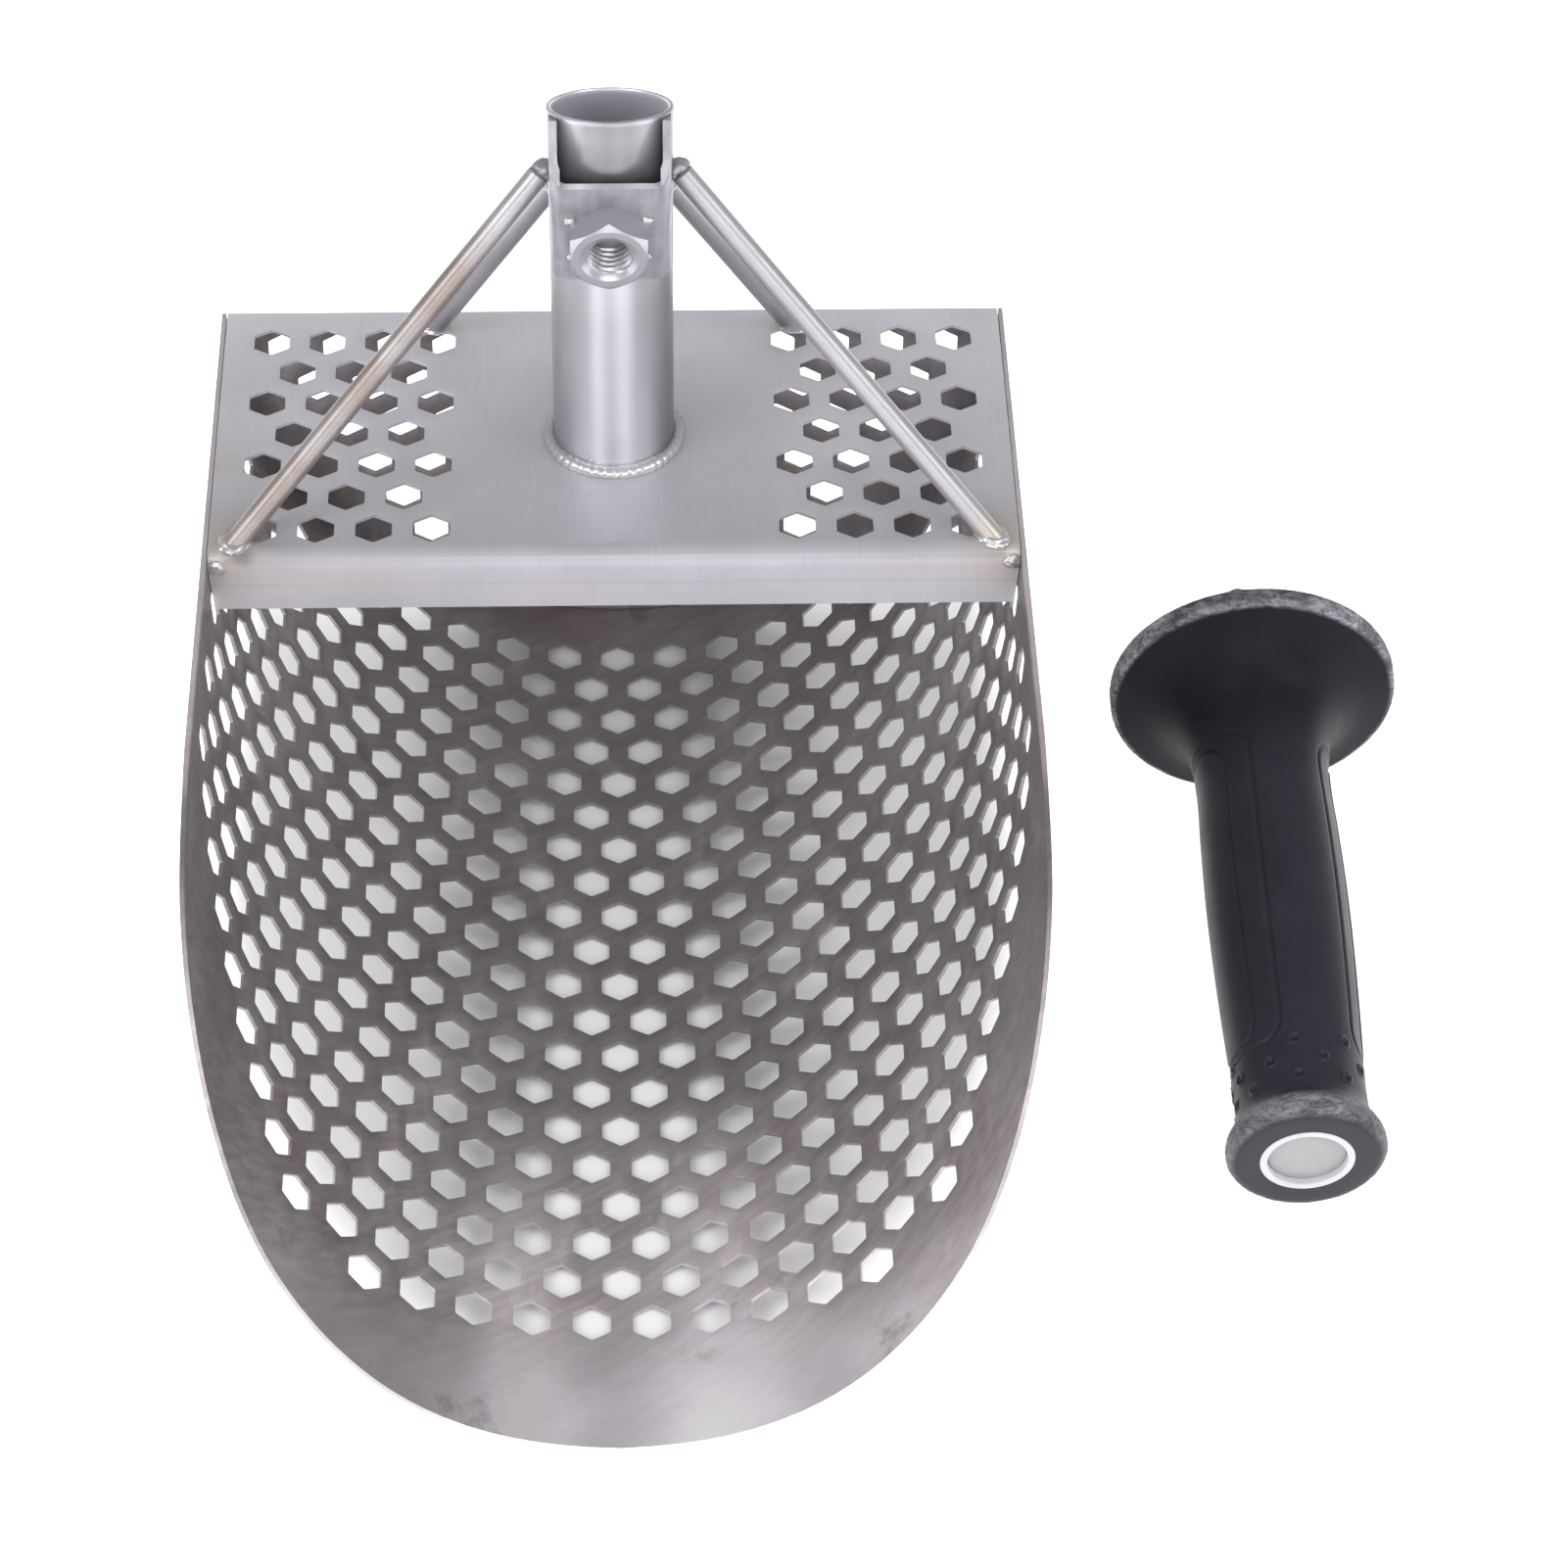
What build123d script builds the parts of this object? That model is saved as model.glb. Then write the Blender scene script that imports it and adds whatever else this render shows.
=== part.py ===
"""Beach sand scoop: a perforated stainless basket with a socket for a shaft, and its screw-in side grip.

The scoop stands on the round back of its basket, with the grip lying beside it on the same floor.
Origin: the axis of the shaft socket, on the top face of the hood. +Z runs up the socket, -Y runs
towards the digging lip and +X is to the right, where the grip lies. All sizes are in millimetres.
"""

from build123d import *
from math import cos, radians, sin, sqrt, tan
import os

# Perforation: regular hexagons on an equilateral grid, flats to the left and right
hole_pitch = 15.0
hole_flats = 9.6
row_step = hole_pitch * sqrt(3) / 2
hole_radius = hole_flats / sqrt(3)

# Basket: a sheet rolled to half a cylinder, its axis along Y
sheet = 1.2
basket_radius = 105.6
basket_axis_z = -2.85
basket_back = 53.0
lip_tip = -255.5
rim_shoulder = -117.0
first_hole_row = -99.0
hole_rows_front = 9
hole_rows_back = 10

# Hood: the flat lid over the back of the basket, its front edge folded down
fit_gap = 0.3
hood_half_width = basket_radius - fit_gap
hood_front = -47.8
flange_height = 18.5
fold_radius = 3.0
hood_first_row = -37.5
hood_rows = 7
hood_inner_column = 47.7

# Shaft socket
tube_outer = 15.9
tube_wall = 1.2
tube_inner = tube_outer - tube_wall
tube_back_height = 101.0
tube_front_height = 113.0

# Nut bracket: a channel welded to the front of the socket, its face leaning out at the top
handle_tilt = 6.3
bracket_sheet = 2.1
bracket_half_width = 15.3
bracket_z = 80.2
bracket_half_height = 15.5
bracket_bend = 4.6
wing_width = 2.7
wing_top = 33.5
wing_tip_y = -11.0
wing_tip_z = 111.5
bracket_back = -5.0

# M12 hexagon nut let into the bracket, and the stud that fits it
nut_flats = 19.6
nut_height = 10.0
nut_stand_out = 7.8
bracket_front_y = -18.4
nut_x = -0.5
nut_z = 78.9
thread_minor = 5.1
stud_radius = 5.0
stud_hole_radius = 6.6
mouth_radius = 7.1
mouth_depth = 1.15

# Struts from the hood to the socket
strut_radius = 3.0
strut_front_foot = (98.2, -42.6, 0)
strut_front_top = (14.5, 0.0, 91.0)
strut_rear_foot = (48.7, 47.0, 0)
strut_rear_top = (11.5, 8.5, 81.0)

# Weld metal
weld_leg = 3.0
foot_weld_radius = 4.9
top_weld_radius = 5.2
tack_radius = 2.6
corner_weld_radius = 1.4

# Side grip, lying parallel to Y with its disc at the back
grip_x = 173.4
disc_back_y = -23.4
floor_z = basket_axis_z - basket_radius - sheet
disc_radius = 38.8
disc_edge = 6.0
disc_corner = 1.4
grip_length = 160.5
bead_radius = 20.6
core_outer = 12.2
core_inner = 10.1
recess_radius = 13.5
recess_depth = 8.0
stud_reach = 13.4
insert_length = 26.0
plug_recess = 1.5
plug_length = 12.0
washer_outer = 12.0
loose_bore = 5.08
washer_thickness = 1.5
jam_nut_flats = 18.0
jam_nut_height = 6.0

tilt = radians(handle_tilt)
stud_dir = Vector(0, cos(tilt), sin(tilt))
grip_dir = stud_dir * -1
disc_back_z = floor_z + disc_radius * cos(tilt) + disc_edge * sin(tilt)
disc_back = Vector(grip_x, disc_back_y, disc_back_z)
grip_axis = Axis(disc_back, grip_dir)
nut_seat = Vector(nut_x, bracket_front_y - (nut_z - bracket_z) * tan(tilt), nut_z)
bracket_up = Vector(0, -sin(tilt), cos(tilt))


def save(part, name):
    """Label a finished piece and write it as parts/NAME.step."""
    part.label = name
    export_step(part, f"parts/{name}.step")


def grip_station(distance):
    """Plane across the grip at a distance from the back face of its disc, towards the far end."""
    return Plane(origin=disc_back + grip_dir * distance, x_dir=(1, 0, 0), z_dir=grip_dir)


def grip_ring(outer, inner, start, length):
    """Sleeve or rod on the grip's axis, starting at a distance from the back face of the disc."""
    with BuildPart() as ring:
        with BuildSketch(grip_station(start)):
            Circle(outer)
            if inner > 0:
                Circle(inner, mode=Mode.SUBTRACT)
        extrude(amount=length)
    return ring.part


def row_limit(row):
    """Outermost hole of a basket row, in pitches from the middle: rows shorten towards the lip."""
    if row == hole_rows_front:
        return 4.5
    if row < 2:
        return 10 - (row % 2) / 2
    return 10 - row / 2


def basket_hole_planes():
    """One plane per basket hole, tangent to the sheet and facing outwards."""
    planes = []
    for row in range(-hole_rows_back, hole_rows_front + 1):
        y = first_hole_row - row * row_step
        limit = row_limit(row)
        for step in range(int(2 * limit) + 1):
            angle = (step - limit) * hole_pitch / basket_radius
            out = Vector(sin(angle), 0, -cos(angle))
            centre = Vector(0, y, basket_axis_z) + out * basket_radius
            planes.append(Plane(origin=centre, x_dir=(cos(angle), 0, sin(angle)), z_dir=out))
    return planes


def hood_hole_points():
    """Hole centres of the hood: rows of four and three on each side of a plain middle."""
    points = []
    for row in range(hood_rows):
        y = hood_first_row + row * row_step
        short_row = row % 2
        for column in range(4 - short_row):
            x = hood_inner_column + (column + short_row / 2) * hole_pitch
            points += [(x, y), (-x, y)]
    return points


def back_hole_points():
    """Hole centres of the back wall, kept clear of its round edge."""
    points = []
    edge = basket_radius - 12.6
    for row in range(7):
        z = -11.85 - row * row_step
        for step in range(-12, 13):
            x = step * hole_pitch / 2
            on_grid = step % 2 == row % 2
            if on_grid and sqrt(x * x + (z - basket_axis_z) ** 2) < edge:
                points.append((x, z))
    return points


def hexagon_punch():
    """One hexagonal punch, centred on the origin, for the perforated sheets."""
    with BuildPart() as punch:
        with BuildSketch(Plane.XY.offset(-4)):
            RegularPolygon(hole_radius, 6, rotation=30)
        extrude(amount=8)
    return punch.part


def rim_cutter(drop):
    """Block above the slanted rim of the socket, lowered by a small drop."""
    with BuildPart() as block:
        with BuildSketch(Plane.YZ):
            Polygon(
                (-2 * tube_outer, 1.5 * tube_front_height - 0.5 * tube_back_height - drop),
                (2 * tube_outer, 1.5 * tube_back_height - 0.5 * tube_front_height - drop),
                (2 * tube_outer, tube_front_height + 20),
                (-2 * tube_outer, tube_front_height + 20),
                align=None,
            )
        extrude(amount=2 * tube_outer, both=True)
    return block.part


def strut_rod(foot, top, side):
    """Round rod from a foot on the hood to the socket, running a little past both ends."""
    start = Vector(side * foot[0], foot[1], foot[2])
    end = Vector(side * top[0], top[1], top[2])
    run = (end - start).normalized()
    with BuildPart() as rod:
        with BuildSketch(Plane(origin=start - run * 8, z_dir=run)):
            Circle(strut_radius)
        extrude(amount=(end - start).length + 8)
    return rod.part


def strut(rod):
    """Strut cut off flat on the hood and round against the socket."""
    with BuildPart() as trimmed:
        add(rod)
        with BuildSketch(Plane.XY):
            Rectangle(400, 400)
            Circle(tube_outer)
        extrude(amount=-40, mode=Mode.SUBTRACT)
        with BuildSketch(Plane.XY):
            Circle(tube_outer)
        extrude(amount=tube_front_height, mode=Mode.SUBTRACT)
    return trimmed.part


def weld_bead(centre, radius, neighbours):
    """Ball of weld metal with the pieces it joins taken out of it."""
    with BuildPart() as bead:
        with Locations(centre):
            Sphere(radius)
        for piece in neighbours:
            add(piece, mode=Mode.SUBTRACT)
    return bead.part


os.makedirs("parts", exist_ok=True)
punch = hexagon_punch()

# Basket
with BuildPart() as basket_shell:
    with BuildSketch(Plane.XZ.offset(-basket_back)):
        with Locations((0, basket_axis_z)):
            Circle(basket_radius + sheet)
            Rectangle(220, 220, align=(Align.CENTER, Align.MIN), mode=Mode.SUBTRACT)
            Rectangle(2 * basket_radius + 2 * sheet, -basket_axis_z, align=(Align.CENTER, Align.MIN))
            Circle(basket_radius, mode=Mode.SUBTRACT)
            Rectangle(2 * basket_radius, 220, align=(Align.CENTER, Align.MIN), mode=Mode.SUBTRACT)
    extrude(amount=basket_back - lip_tip)
    with BuildSketch(Plane.YZ):
        with BuildLine():
            Spline(
                (rim_shoulder, 0),
                (-159.0, -11.0),
                (-190.5, -31.7),
                (-219.6, -55.2),
                (-239.3, -77.0),
                (-249.9, -93.5),
                (lip_tip, floor_z),
                tangents=((-1, 0), (0, -1)),
            )
            Line((lip_tip, floor_z), (lip_tip, floor_z - 5))
            Line((lip_tip, floor_z - 5), (lip_tip - 10, floor_z - 5))
            Line((lip_tip - 10, floor_z - 5), (lip_tip - 10, 10))
            Line((lip_tip - 10, 10), (rim_shoulder, 10))
            Line((rim_shoulder, 10), (rim_shoulder, 0))
        make_face()
    extrude(amount=basket_radius + 10, both=True, mode=Mode.SUBTRACT)
    with Locations(*basket_hole_planes()):
        add(punch, mode=Mode.SUBTRACT)

# Hood with its folded front flange, trimmed to the round of the basket
with BuildPart() as hood_plate:
    with BuildSketch(Plane.YZ):
        with Locations((hood_front, 0)):
            Rectangle(basket_back - hood_front, flange_height, align=(Align.MIN, Align.MAX))
        with Locations((hood_front + sheet, -sheet)):
            Rectangle(basket_back - hood_front, flange_height, align=(Align.MIN, Align.MAX), mode=Mode.SUBTRACT)
    extrude(amount=hood_half_width, both=True)
    outer_fold = hood_plate.edges().filter_by(Axis.X).group_by(Axis.Z)[-1].sort_by(Axis.Y)[0]
    fillet(outer_fold, fold_radius)
    across = hood_plate.edges().filter_by(Axis.X)
    under_side = across.filter_by_position(Axis.Z, -1.01 * sheet, -0.99 * sheet)
    inner_fold = under_side.sort_by(Axis.Y)[0]
    fillet(inner_fold, fold_radius - sheet)
    with BuildSketch(Plane.XZ.offset(-basket_back)):
        with Locations((0, basket_axis_z)):
            Circle(hood_half_width)
            Rectangle(2 * hood_half_width, 20, align=(Align.CENTER, Align.MIN))
    extrude(amount=basket_back - hood_front, mode=Mode.INTERSECT)
    with Locations(*hood_hole_points()):
        add(punch, mode=Mode.SUBTRACT)

# Back wall
back_planes = [Plane(origin=(x, basket_back, z), z_dir=(0, -1, 0)) for x, z in back_hole_points()]
with BuildPart() as back_wall:
    with BuildSketch(Plane.XZ.offset(-basket_back)):
        with Locations((0, basket_axis_z)):
            Circle(hood_half_width)
            Rectangle(2 * hood_half_width, 20, align=(Align.CENTER, Align.MIN))
        with Locations((0, -sheet)):
            Rectangle(220, 220, align=(Align.CENTER, Align.MIN), mode=Mode.SUBTRACT)
    extrude(amount=sheet)
    with Locations(*back_planes):
        add(punch, mode=Mode.SUBTRACT)

# Shaft socket, its rim cut on a slant, with a hole for the grip's stud behind the nut
rim_block = rim_cutter(0)
with BuildPart() as socket_tube:
    with BuildSketch(Plane.XY):
        Circle(tube_outer)
        Circle(tube_inner, mode=Mode.SUBTRACT)
    extrude(amount=tube_front_height + 5)
    add(rim_block, mode=Mode.SUBTRACT)
    with BuildSketch(Plane(origin=nut_seat, x_dir=(1, 0, 0), z_dir=stud_dir)):
        Circle(stud_hole_radius)
    extrude(amount=12, mode=Mode.SUBTRACT)

# M12 nut, corners up and down, let into the bracket and trimmed to the round of the socket
nut_plane = Plane(origin=nut_seat - stud_dir * nut_stand_out, x_dir=(1, 0, 0), z_dir=stud_dir)
with BuildPart() as socket_nut:
    with BuildSketch(nut_plane):
        RegularPolygon(nut_flats / sqrt(3), 6, rotation=30)
    extrude(amount=nut_height)
    with BuildSketch(nut_plane):
        Circle(0.49 * nut_flats)
    extrude(amount=nut_height, taper=-60, mode=Mode.INTERSECT)
    with BuildSketch(nut_plane):
        Circle(thread_minor)
    extrude(amount=nut_height, mode=Mode.SUBTRACT)
    with BuildSketch(nut_plane):
        Circle(mouth_radius)
    extrude(amount=mouth_depth, taper=60, mode=Mode.SUBTRACT)
    with BuildSketch(Plane.XY.offset(50)):
        Circle(tube_outer)
    extrude(amount=50, mode=Mode.SUBTRACT)

# Nut bracket: its sides reach back to the socket and run on up beside an open window
bracket_centre = Vector(0, bracket_front_y, bracket_z)
channel_foot = bracket_centre - bracket_up * bracket_half_height
wing_foot = bracket_centre + bracket_up * bracket_half_height
wing_block = rim_cutter(1)
inner_half_width = bracket_half_width - bracket_sheet
with BuildPart() as nut_bracket:
    with BuildSketch(Plane(origin=channel_foot, x_dir=(1, 0, 0), z_dir=bracket_up)) as channel:
        Rectangle(2 * bracket_half_width, 20, align=(Align.CENTER, Align.MIN))
        fillet(channel.vertices().group_by(Axis.Y)[0], bracket_bend)
        with Locations((0, bracket_sheet)):
            Rectangle(2 * inner_half_width, 20, align=(Align.CENTER, Align.MIN), mode=Mode.SUBTRACT)
        corners = channel.vertices()
        inner_corners = corners.filter_by_position(Axis.Y, 0.99 * bracket_sheet, 1.01 * bracket_sheet)
        fillet(inner_corners, bracket_bend - bracket_sheet)
    extrude(amount=bracket_half_height + wing_top)
    with BuildSketch(Plane(origin=wing_foot, x_dir=(1, 0, 0), z_dir=bracket_up)):
        Rectangle(2 * bracket_half_width - 2 * wing_width, 60)
    extrude(amount=60, mode=Mode.SUBTRACT)
    with BuildSketch(Plane.YZ):
        Polygon(
            (wing_foot.Y, wing_foot.Z),
            (wing_tip_y, wing_tip_z),
            (wing_tip_y, wing_tip_z + 20),
            (wing_foot.Y - 20, wing_tip_z + 20),
            (wing_foot.Y - 20, wing_foot.Z),
            align=None,
        )
    extrude(amount=60, both=True, mode=Mode.SUBTRACT)
    with BuildSketch(Plane.XZ.offset(-bracket_back)):
        Rectangle(60, 300)
    extrude(amount=-40, mode=Mode.SUBTRACT)
    add(wing_block, mode=Mode.SUBTRACT)
    with BuildSketch(Plane.XY.offset(40)):
        Circle(tube_outer)
    extrude(amount=80, mode=Mode.SUBTRACT)
    with BuildSketch(nut_plane):
        RegularPolygon(nut_flats / sqrt(3), 6, rotation=30)
    extrude(amount=nut_height, mode=Mode.SUBTRACT)

# Struts
rods = {
    "strut_front_left": strut_rod(strut_front_foot, strut_front_top, -1),
    "strut_front_right": strut_rod(strut_front_foot, strut_front_top, 1),
    "strut_rear_left": strut_rod(strut_rear_foot, strut_rear_top, -1),
    "strut_rear_right": strut_rod(strut_rear_foot, strut_rear_top, 1),
}

# Welds, each trimmed to the pieces it joins
with BuildPart() as hood_solid:
    with BuildSketch(Plane.XY):
        Rectangle(400, 400)
    extrude(amount=-40)
with BuildPart() as socket_solid:
    with BuildSketch(Plane.XY):
        Circle(tube_outer)
    extrude(amount=tube_front_height)

with BuildPart() as bracket_solid:
    with BuildSketch(Plane(origin=nut_seat, x_dir=(1, 0, 0), z_dir=stud_dir)):
        Rectangle(60, 60)
    extrude(amount=20)

with BuildPart() as socket_base_weld:
    with BuildSketch(Plane.XZ):
        Polygon((tube_outer, 0), (tube_outer + weld_leg, 0), (tube_outer, weld_leg), align=None)
    revolve(axis=Axis.Z)

foot_beads = []
top_beads = []
for foot, top in ((strut_front_foot, strut_front_top), (strut_rear_foot, strut_rear_top)):
    for side in (-1, 1):
        rod = strut_rod(foot, top, side)
        start = Vector(side * foot[0], foot[1], -0.6)
        foot_beads.append(weld_bead(start, foot_weld_radius, [hood_solid.part, rod]))
        end = Vector(side * top[0], top[1], top[2])
        out = Vector(end.X, end.Y, 0).normalized() * (tube_outer + 0.5)
        joint = Vector(out.X, out.Y, top[2] - 1.5)
        top_beads.append(weld_bead(joint, top_weld_radius, [socket_solid.part, nut_bracket.part, rod]))

tack_beads = []
for side in (-1, 1):
    for height in (5.6, -4.5):
        spot = nut_seat + Vector(side * (nut_flats / 2 + 0.6), 0, 0) + bracket_up * height
        tack_beads.append(weld_bead(spot, tack_radius, [bracket_solid.part, socket_nut.part]))

spot = Vector(-hood_half_width, hood_front - 0.5, -4.5)
corner_ball = weld_bead(spot, corner_weld_radius, [hood_plate.part])
with BuildPart() as left_corner_bead:
    add(corner_ball)
    with BuildSketch(Plane.XZ.offset(30)):
        with Locations((0, basket_axis_z)):
            Circle(basket_radius)
    extrude(amount=40, mode=Mode.INTERSECT)
right_corner_bead = mirror(left_corner_bead.part, about=Plane.YZ)
corner_beads = [left_corner_bead.part, right_corner_bead]

# Side grip: rubber sleeve with its guard disc, round a stiff tube
grip_section = Plane(origin=disc_back, x_dir=(1, 0, 0), z_dir=Vector(1, 0, 0).cross(grip_dir))
with BuildPart() as grip_sleeve:
    with BuildSketch(grip_section) as sleeve_half:
        with BuildLine():
            back_face = Polyline(
                (core_outer, recess_depth),
                (recess_radius, recess_depth),
                (recess_radius, 0),
                (disc_radius, 0),
            )
            edge = Line(back_face @ 1, (disc_radius, disc_edge))
            trumpet = Spline(
                edge @ 1,
                (27.6, 10.2),
                (21.2, 17.5),
                (18.95, 26.0),
                (18.1, 37.6),
                (18.8, 75.6),
                (18.0, 114.6),
                (16.9, 140.6),
                tangents=((-1, 0.3), (0, 1)),
            )
            neck = Spline(trumpet @ 1, (bead_radius, 155.5), tangents=((0, 1), (0, 1)))
            Polyline(
                neck @ 1,
                (bead_radius, grip_length),
                (core_outer, grip_length),
                (core_outer, recess_depth),
            )
        make_face()
        fillet(sleeve_half.vertices().group_by(Axis.X)[-1], disc_corner)
        end_corner = sleeve_half.vertices().group_by(Axis.Y)[-1].sort_by(Axis.X)[-1]
        fillet(end_corner, 3.5)
    revolve(axis=grip_axis)

# Stud with a bevelled tip
with BuildPart() as handle_stud:
    with BuildSketch(grip_station(-stud_reach)):
        Circle(stud_radius)
    extrude(amount=stud_reach + recess_depth + insert_length)
    tip_edge = handle_stud.edges().filter_by(GeomType.CIRCLE).sort_by(grip_axis)[0]
    chamfer(tip_edge, 0.8)

# Loose hardware on the stud: a washer on the floor of the recess and a thin nut by the tip
stud_washer = grip_ring(washer_outer, loose_bore, recess_depth - washer_thickness, washer_thickness)
with BuildPart() as jam_nut:
    with BuildSketch(grip_station(-stud_reach + 0.1)):
        RegularPolygon(jam_nut_flats / sqrt(3), 6, rotation=30)
        Circle(loose_bore, mode=Mode.SUBTRACT)
    extrude(amount=jam_nut_height)

core_tube = grip_ring(core_outer, core_inner, recess_depth, grip_length - recess_depth)
stud_insert = grip_ring(core_inner, stud_radius, recess_depth, insert_length)
end_plug = grip_ring(core_inner, 0, grip_length - plug_recess - plug_length, plug_length)

save(basket_shell.part, "basket_shell")
save(hood_plate.part, "hood_plate")
save(back_wall.part, "back_wall")
save(socket_tube.part, "socket_tube")
save(socket_nut.part, "socket_nut")
save(nut_bracket.part, "nut_bracket")
for name, rod in rods.items():
    save(strut(rod), name)
save(socket_base_weld.part, "socket_base_weld")
save(Compound(children=foot_beads), "strut_foot_welds")
save(Compound(children=top_beads), "strut_top_welds")
save(Compound(children=tack_beads), "nut_tack_welds")
save(Compound(children=corner_beads), "flange_corner_welds")
save(grip_sleeve.part, "grip_sleeve")
save(core_tube, "core_tube")
save(stud_insert, "stud_insert")
save(end_plug, "end_plug")
save(handle_stud.part, "handle_stud")
save(stud_washer, "stud_washer")
save(jam_nut.part, "jam_nut")
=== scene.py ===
import math

import bmesh
import bpy
import numpy as np
from mathutils import Matrix, Vector, noise
from mathutils.geometry import delaunay_2d_cdt


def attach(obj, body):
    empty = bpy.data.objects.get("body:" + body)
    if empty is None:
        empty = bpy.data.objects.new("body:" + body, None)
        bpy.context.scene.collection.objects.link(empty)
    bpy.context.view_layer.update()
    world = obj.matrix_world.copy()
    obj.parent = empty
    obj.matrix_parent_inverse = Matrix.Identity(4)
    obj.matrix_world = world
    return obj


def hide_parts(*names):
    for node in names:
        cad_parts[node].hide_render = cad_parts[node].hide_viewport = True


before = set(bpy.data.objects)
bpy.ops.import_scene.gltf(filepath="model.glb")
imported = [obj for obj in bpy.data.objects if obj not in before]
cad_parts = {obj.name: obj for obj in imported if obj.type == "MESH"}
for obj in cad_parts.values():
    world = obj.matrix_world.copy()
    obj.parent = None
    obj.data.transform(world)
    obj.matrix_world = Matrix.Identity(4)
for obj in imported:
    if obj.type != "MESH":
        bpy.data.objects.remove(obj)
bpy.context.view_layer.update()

MM = 0.001
SQ3 = math.sqrt(3)

# Sizes shared with the CAD, in millimetres
PITCH = 15.0
ROW = PITCH * SQ3 / 2
HOLE_APOTHEM = 4.8
SHEET = 1.2
BASKET_R = 105.6
AXIS_Z = -2.85
BACK = 53.0
LIP = -255.5
FLOOR_Z = AXIS_Z - BASKET_R - SHEET
HOOD_HALF = 105.3
HOOD_FRONT = -47.8
FLANGE = 18.5
TUBE_R = 15.9
TUBE_IN = 14.7
TILT = math.radians(6.3)
STUD = np.array([0.0, math.cos(TILT), math.sin(TILT)])
GRIP_DIR = -STUD
UP = np.array([0.0, -math.sin(TILT), math.cos(TILT)])
EX = np.array([1.0, 0.0, 0.0])
NUT_SEAT = np.array([-0.5, -18.256, 78.9])
DISC_R = 38.8
DISC_THICK = 6.0
DISC_BACK = np.array([173.4, -23.4, FLOOR_Z + DISC_R * math.cos(TILT) + DISC_THICK * math.sin(TILT)])
FOLD_R = 3.0
THREAD_PITCH = 1.75
NUT_FLATS = 19.6
NUT_STANDS_OUT = 7.8
THIN_NUT_FLATS = 18.0
STUD_REACH = 13.4
STUD_BURIED = 34.0
CORE_R = 12.18
BORE_R = 10.12
STRUT_R = 3.0

# Colours, linear
HEAT_TINT = (0.50, 0.43, 0.36)
SOOT = (0.12, 0.11, 0.10)


# ---- mesh helpers

def make_object(name, verts, faces, body, material, replaced=(), angle=35.0, recalc=True):
    """Mesh object from points in millimetres, smooth except across edges sharper than angle."""
    mesh = bpy.data.meshes.new(name)
    points = [tuple(float(c) * MM for c in v) for v in verts]
    mesh.from_pydata(points, [], [tuple(int(i) for i in f) for f in faces])
    if recalc:
        bm = bmesh.new()
        bm.from_mesh(mesh)
        bmesh.ops.recalc_face_normals(bm, faces=bm.faces)
        bm.to_mesh(mesh)
        bm.free()
    mesh.shade_smooth()
    mesh.set_sharp_from_angle(angle=math.radians(angle))
    mesh.validate()
    mesh.update()
    mesh.materials.append(material)
    obj = bpy.data.objects.new(name, mesh)
    bpy.context.scene.collection.objects.link(obj)
    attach(obj, body)
    if replaced:
        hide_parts(*replaced)
    return obj


def ring_faces(count_rings, per_ring, closed_rings=False, offset=0):
    """Quads joining successive closed rings of points."""
    faces = []
    last = count_rings if closed_rings else count_rings - 1
    for r in range(last):
        a = offset + r * per_ring
        b = offset + ((r + 1) % count_rings) * per_ring
        for i in range(per_ring):
            j = (i + 1) % per_ring
            faces.append((a + i, a + j, b + j, b + i))
    return faces


def circle_angles(count):
    return np.arange(count) * 2 * math.pi / count


def hermite(t, start, end, slope_in, slope_out):
    """Smooth curve between two values, with its slopes given over the whole interval."""
    return ((2 * t**3 - 3 * t**2 + 1) * start + (t**3 - 2 * t**2 + t) * slope_in
            + (-2 * t**3 + 3 * t**2) * end + (t**3 - t**2) * slope_out)


def smoothstep(a, b, x):
    t = np.clip((np.asarray(x, float) - a) / (b - a), 0.0, 1.0)
    return t * t * (3 - 2 * t)


def hexagon_loop(centre, apothem, corner_radius, corner_steps=3):
    """Hexagon with points along v and rounded corners, anticlockwise."""
    cx, cy = centre
    points = []
    corner = apothem * 2 / SQ3
    inset = corner - corner_radius * 2 / SQ3
    for k in range(6):
        angle = math.radians(90 + 60 * k)
        ox, oy = cx + inset * math.cos(angle), cy + inset * math.sin(angle)
        for m in range(corner_steps):
            turn = angle + math.radians(-30 + 60 * m / (corner_steps - 1))
            points.append((ox + corner_radius * math.cos(turn), oy + corner_radius * math.sin(turn)))
    return points


def inside_polygon(px, py, poly):
    """Which points lie inside a closed polygon, by counting crossings."""
    inside = np.zeros(len(px), bool)
    n = len(poly)
    for i in range(n):
        x1, y1 = poly[i]
        x2, y2 = poly[(i + 1) % n]
        if y1 == y2:
            continue
        crosses = (y1 > py) != (y2 > py)
        inside ^= crosses & (px < (x2 - x1) * (py - y1) / (y2 - y1) + x1)
    return inside


def edge_distance(px, py, poly):
    """Distance from each point to the nearest side of a polygon."""
    best = np.full(len(px), 1e9)
    n = len(poly)
    for i in range(n):
        ax, ay = poly[i]
        bx, by = poly[(i + 1) % n]
        dx, dy = bx - ax, by - ay
        length = dx * dx + dy * dy
        if length < 1e-12:
            continue
        t = np.clip(((px - ax) * dx + (py - ay) * dy) / length, 0, 1)
        best = np.minimum(best, np.hypot(px - ax - t * dx, py - ay - t * dy))
    return best


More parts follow.
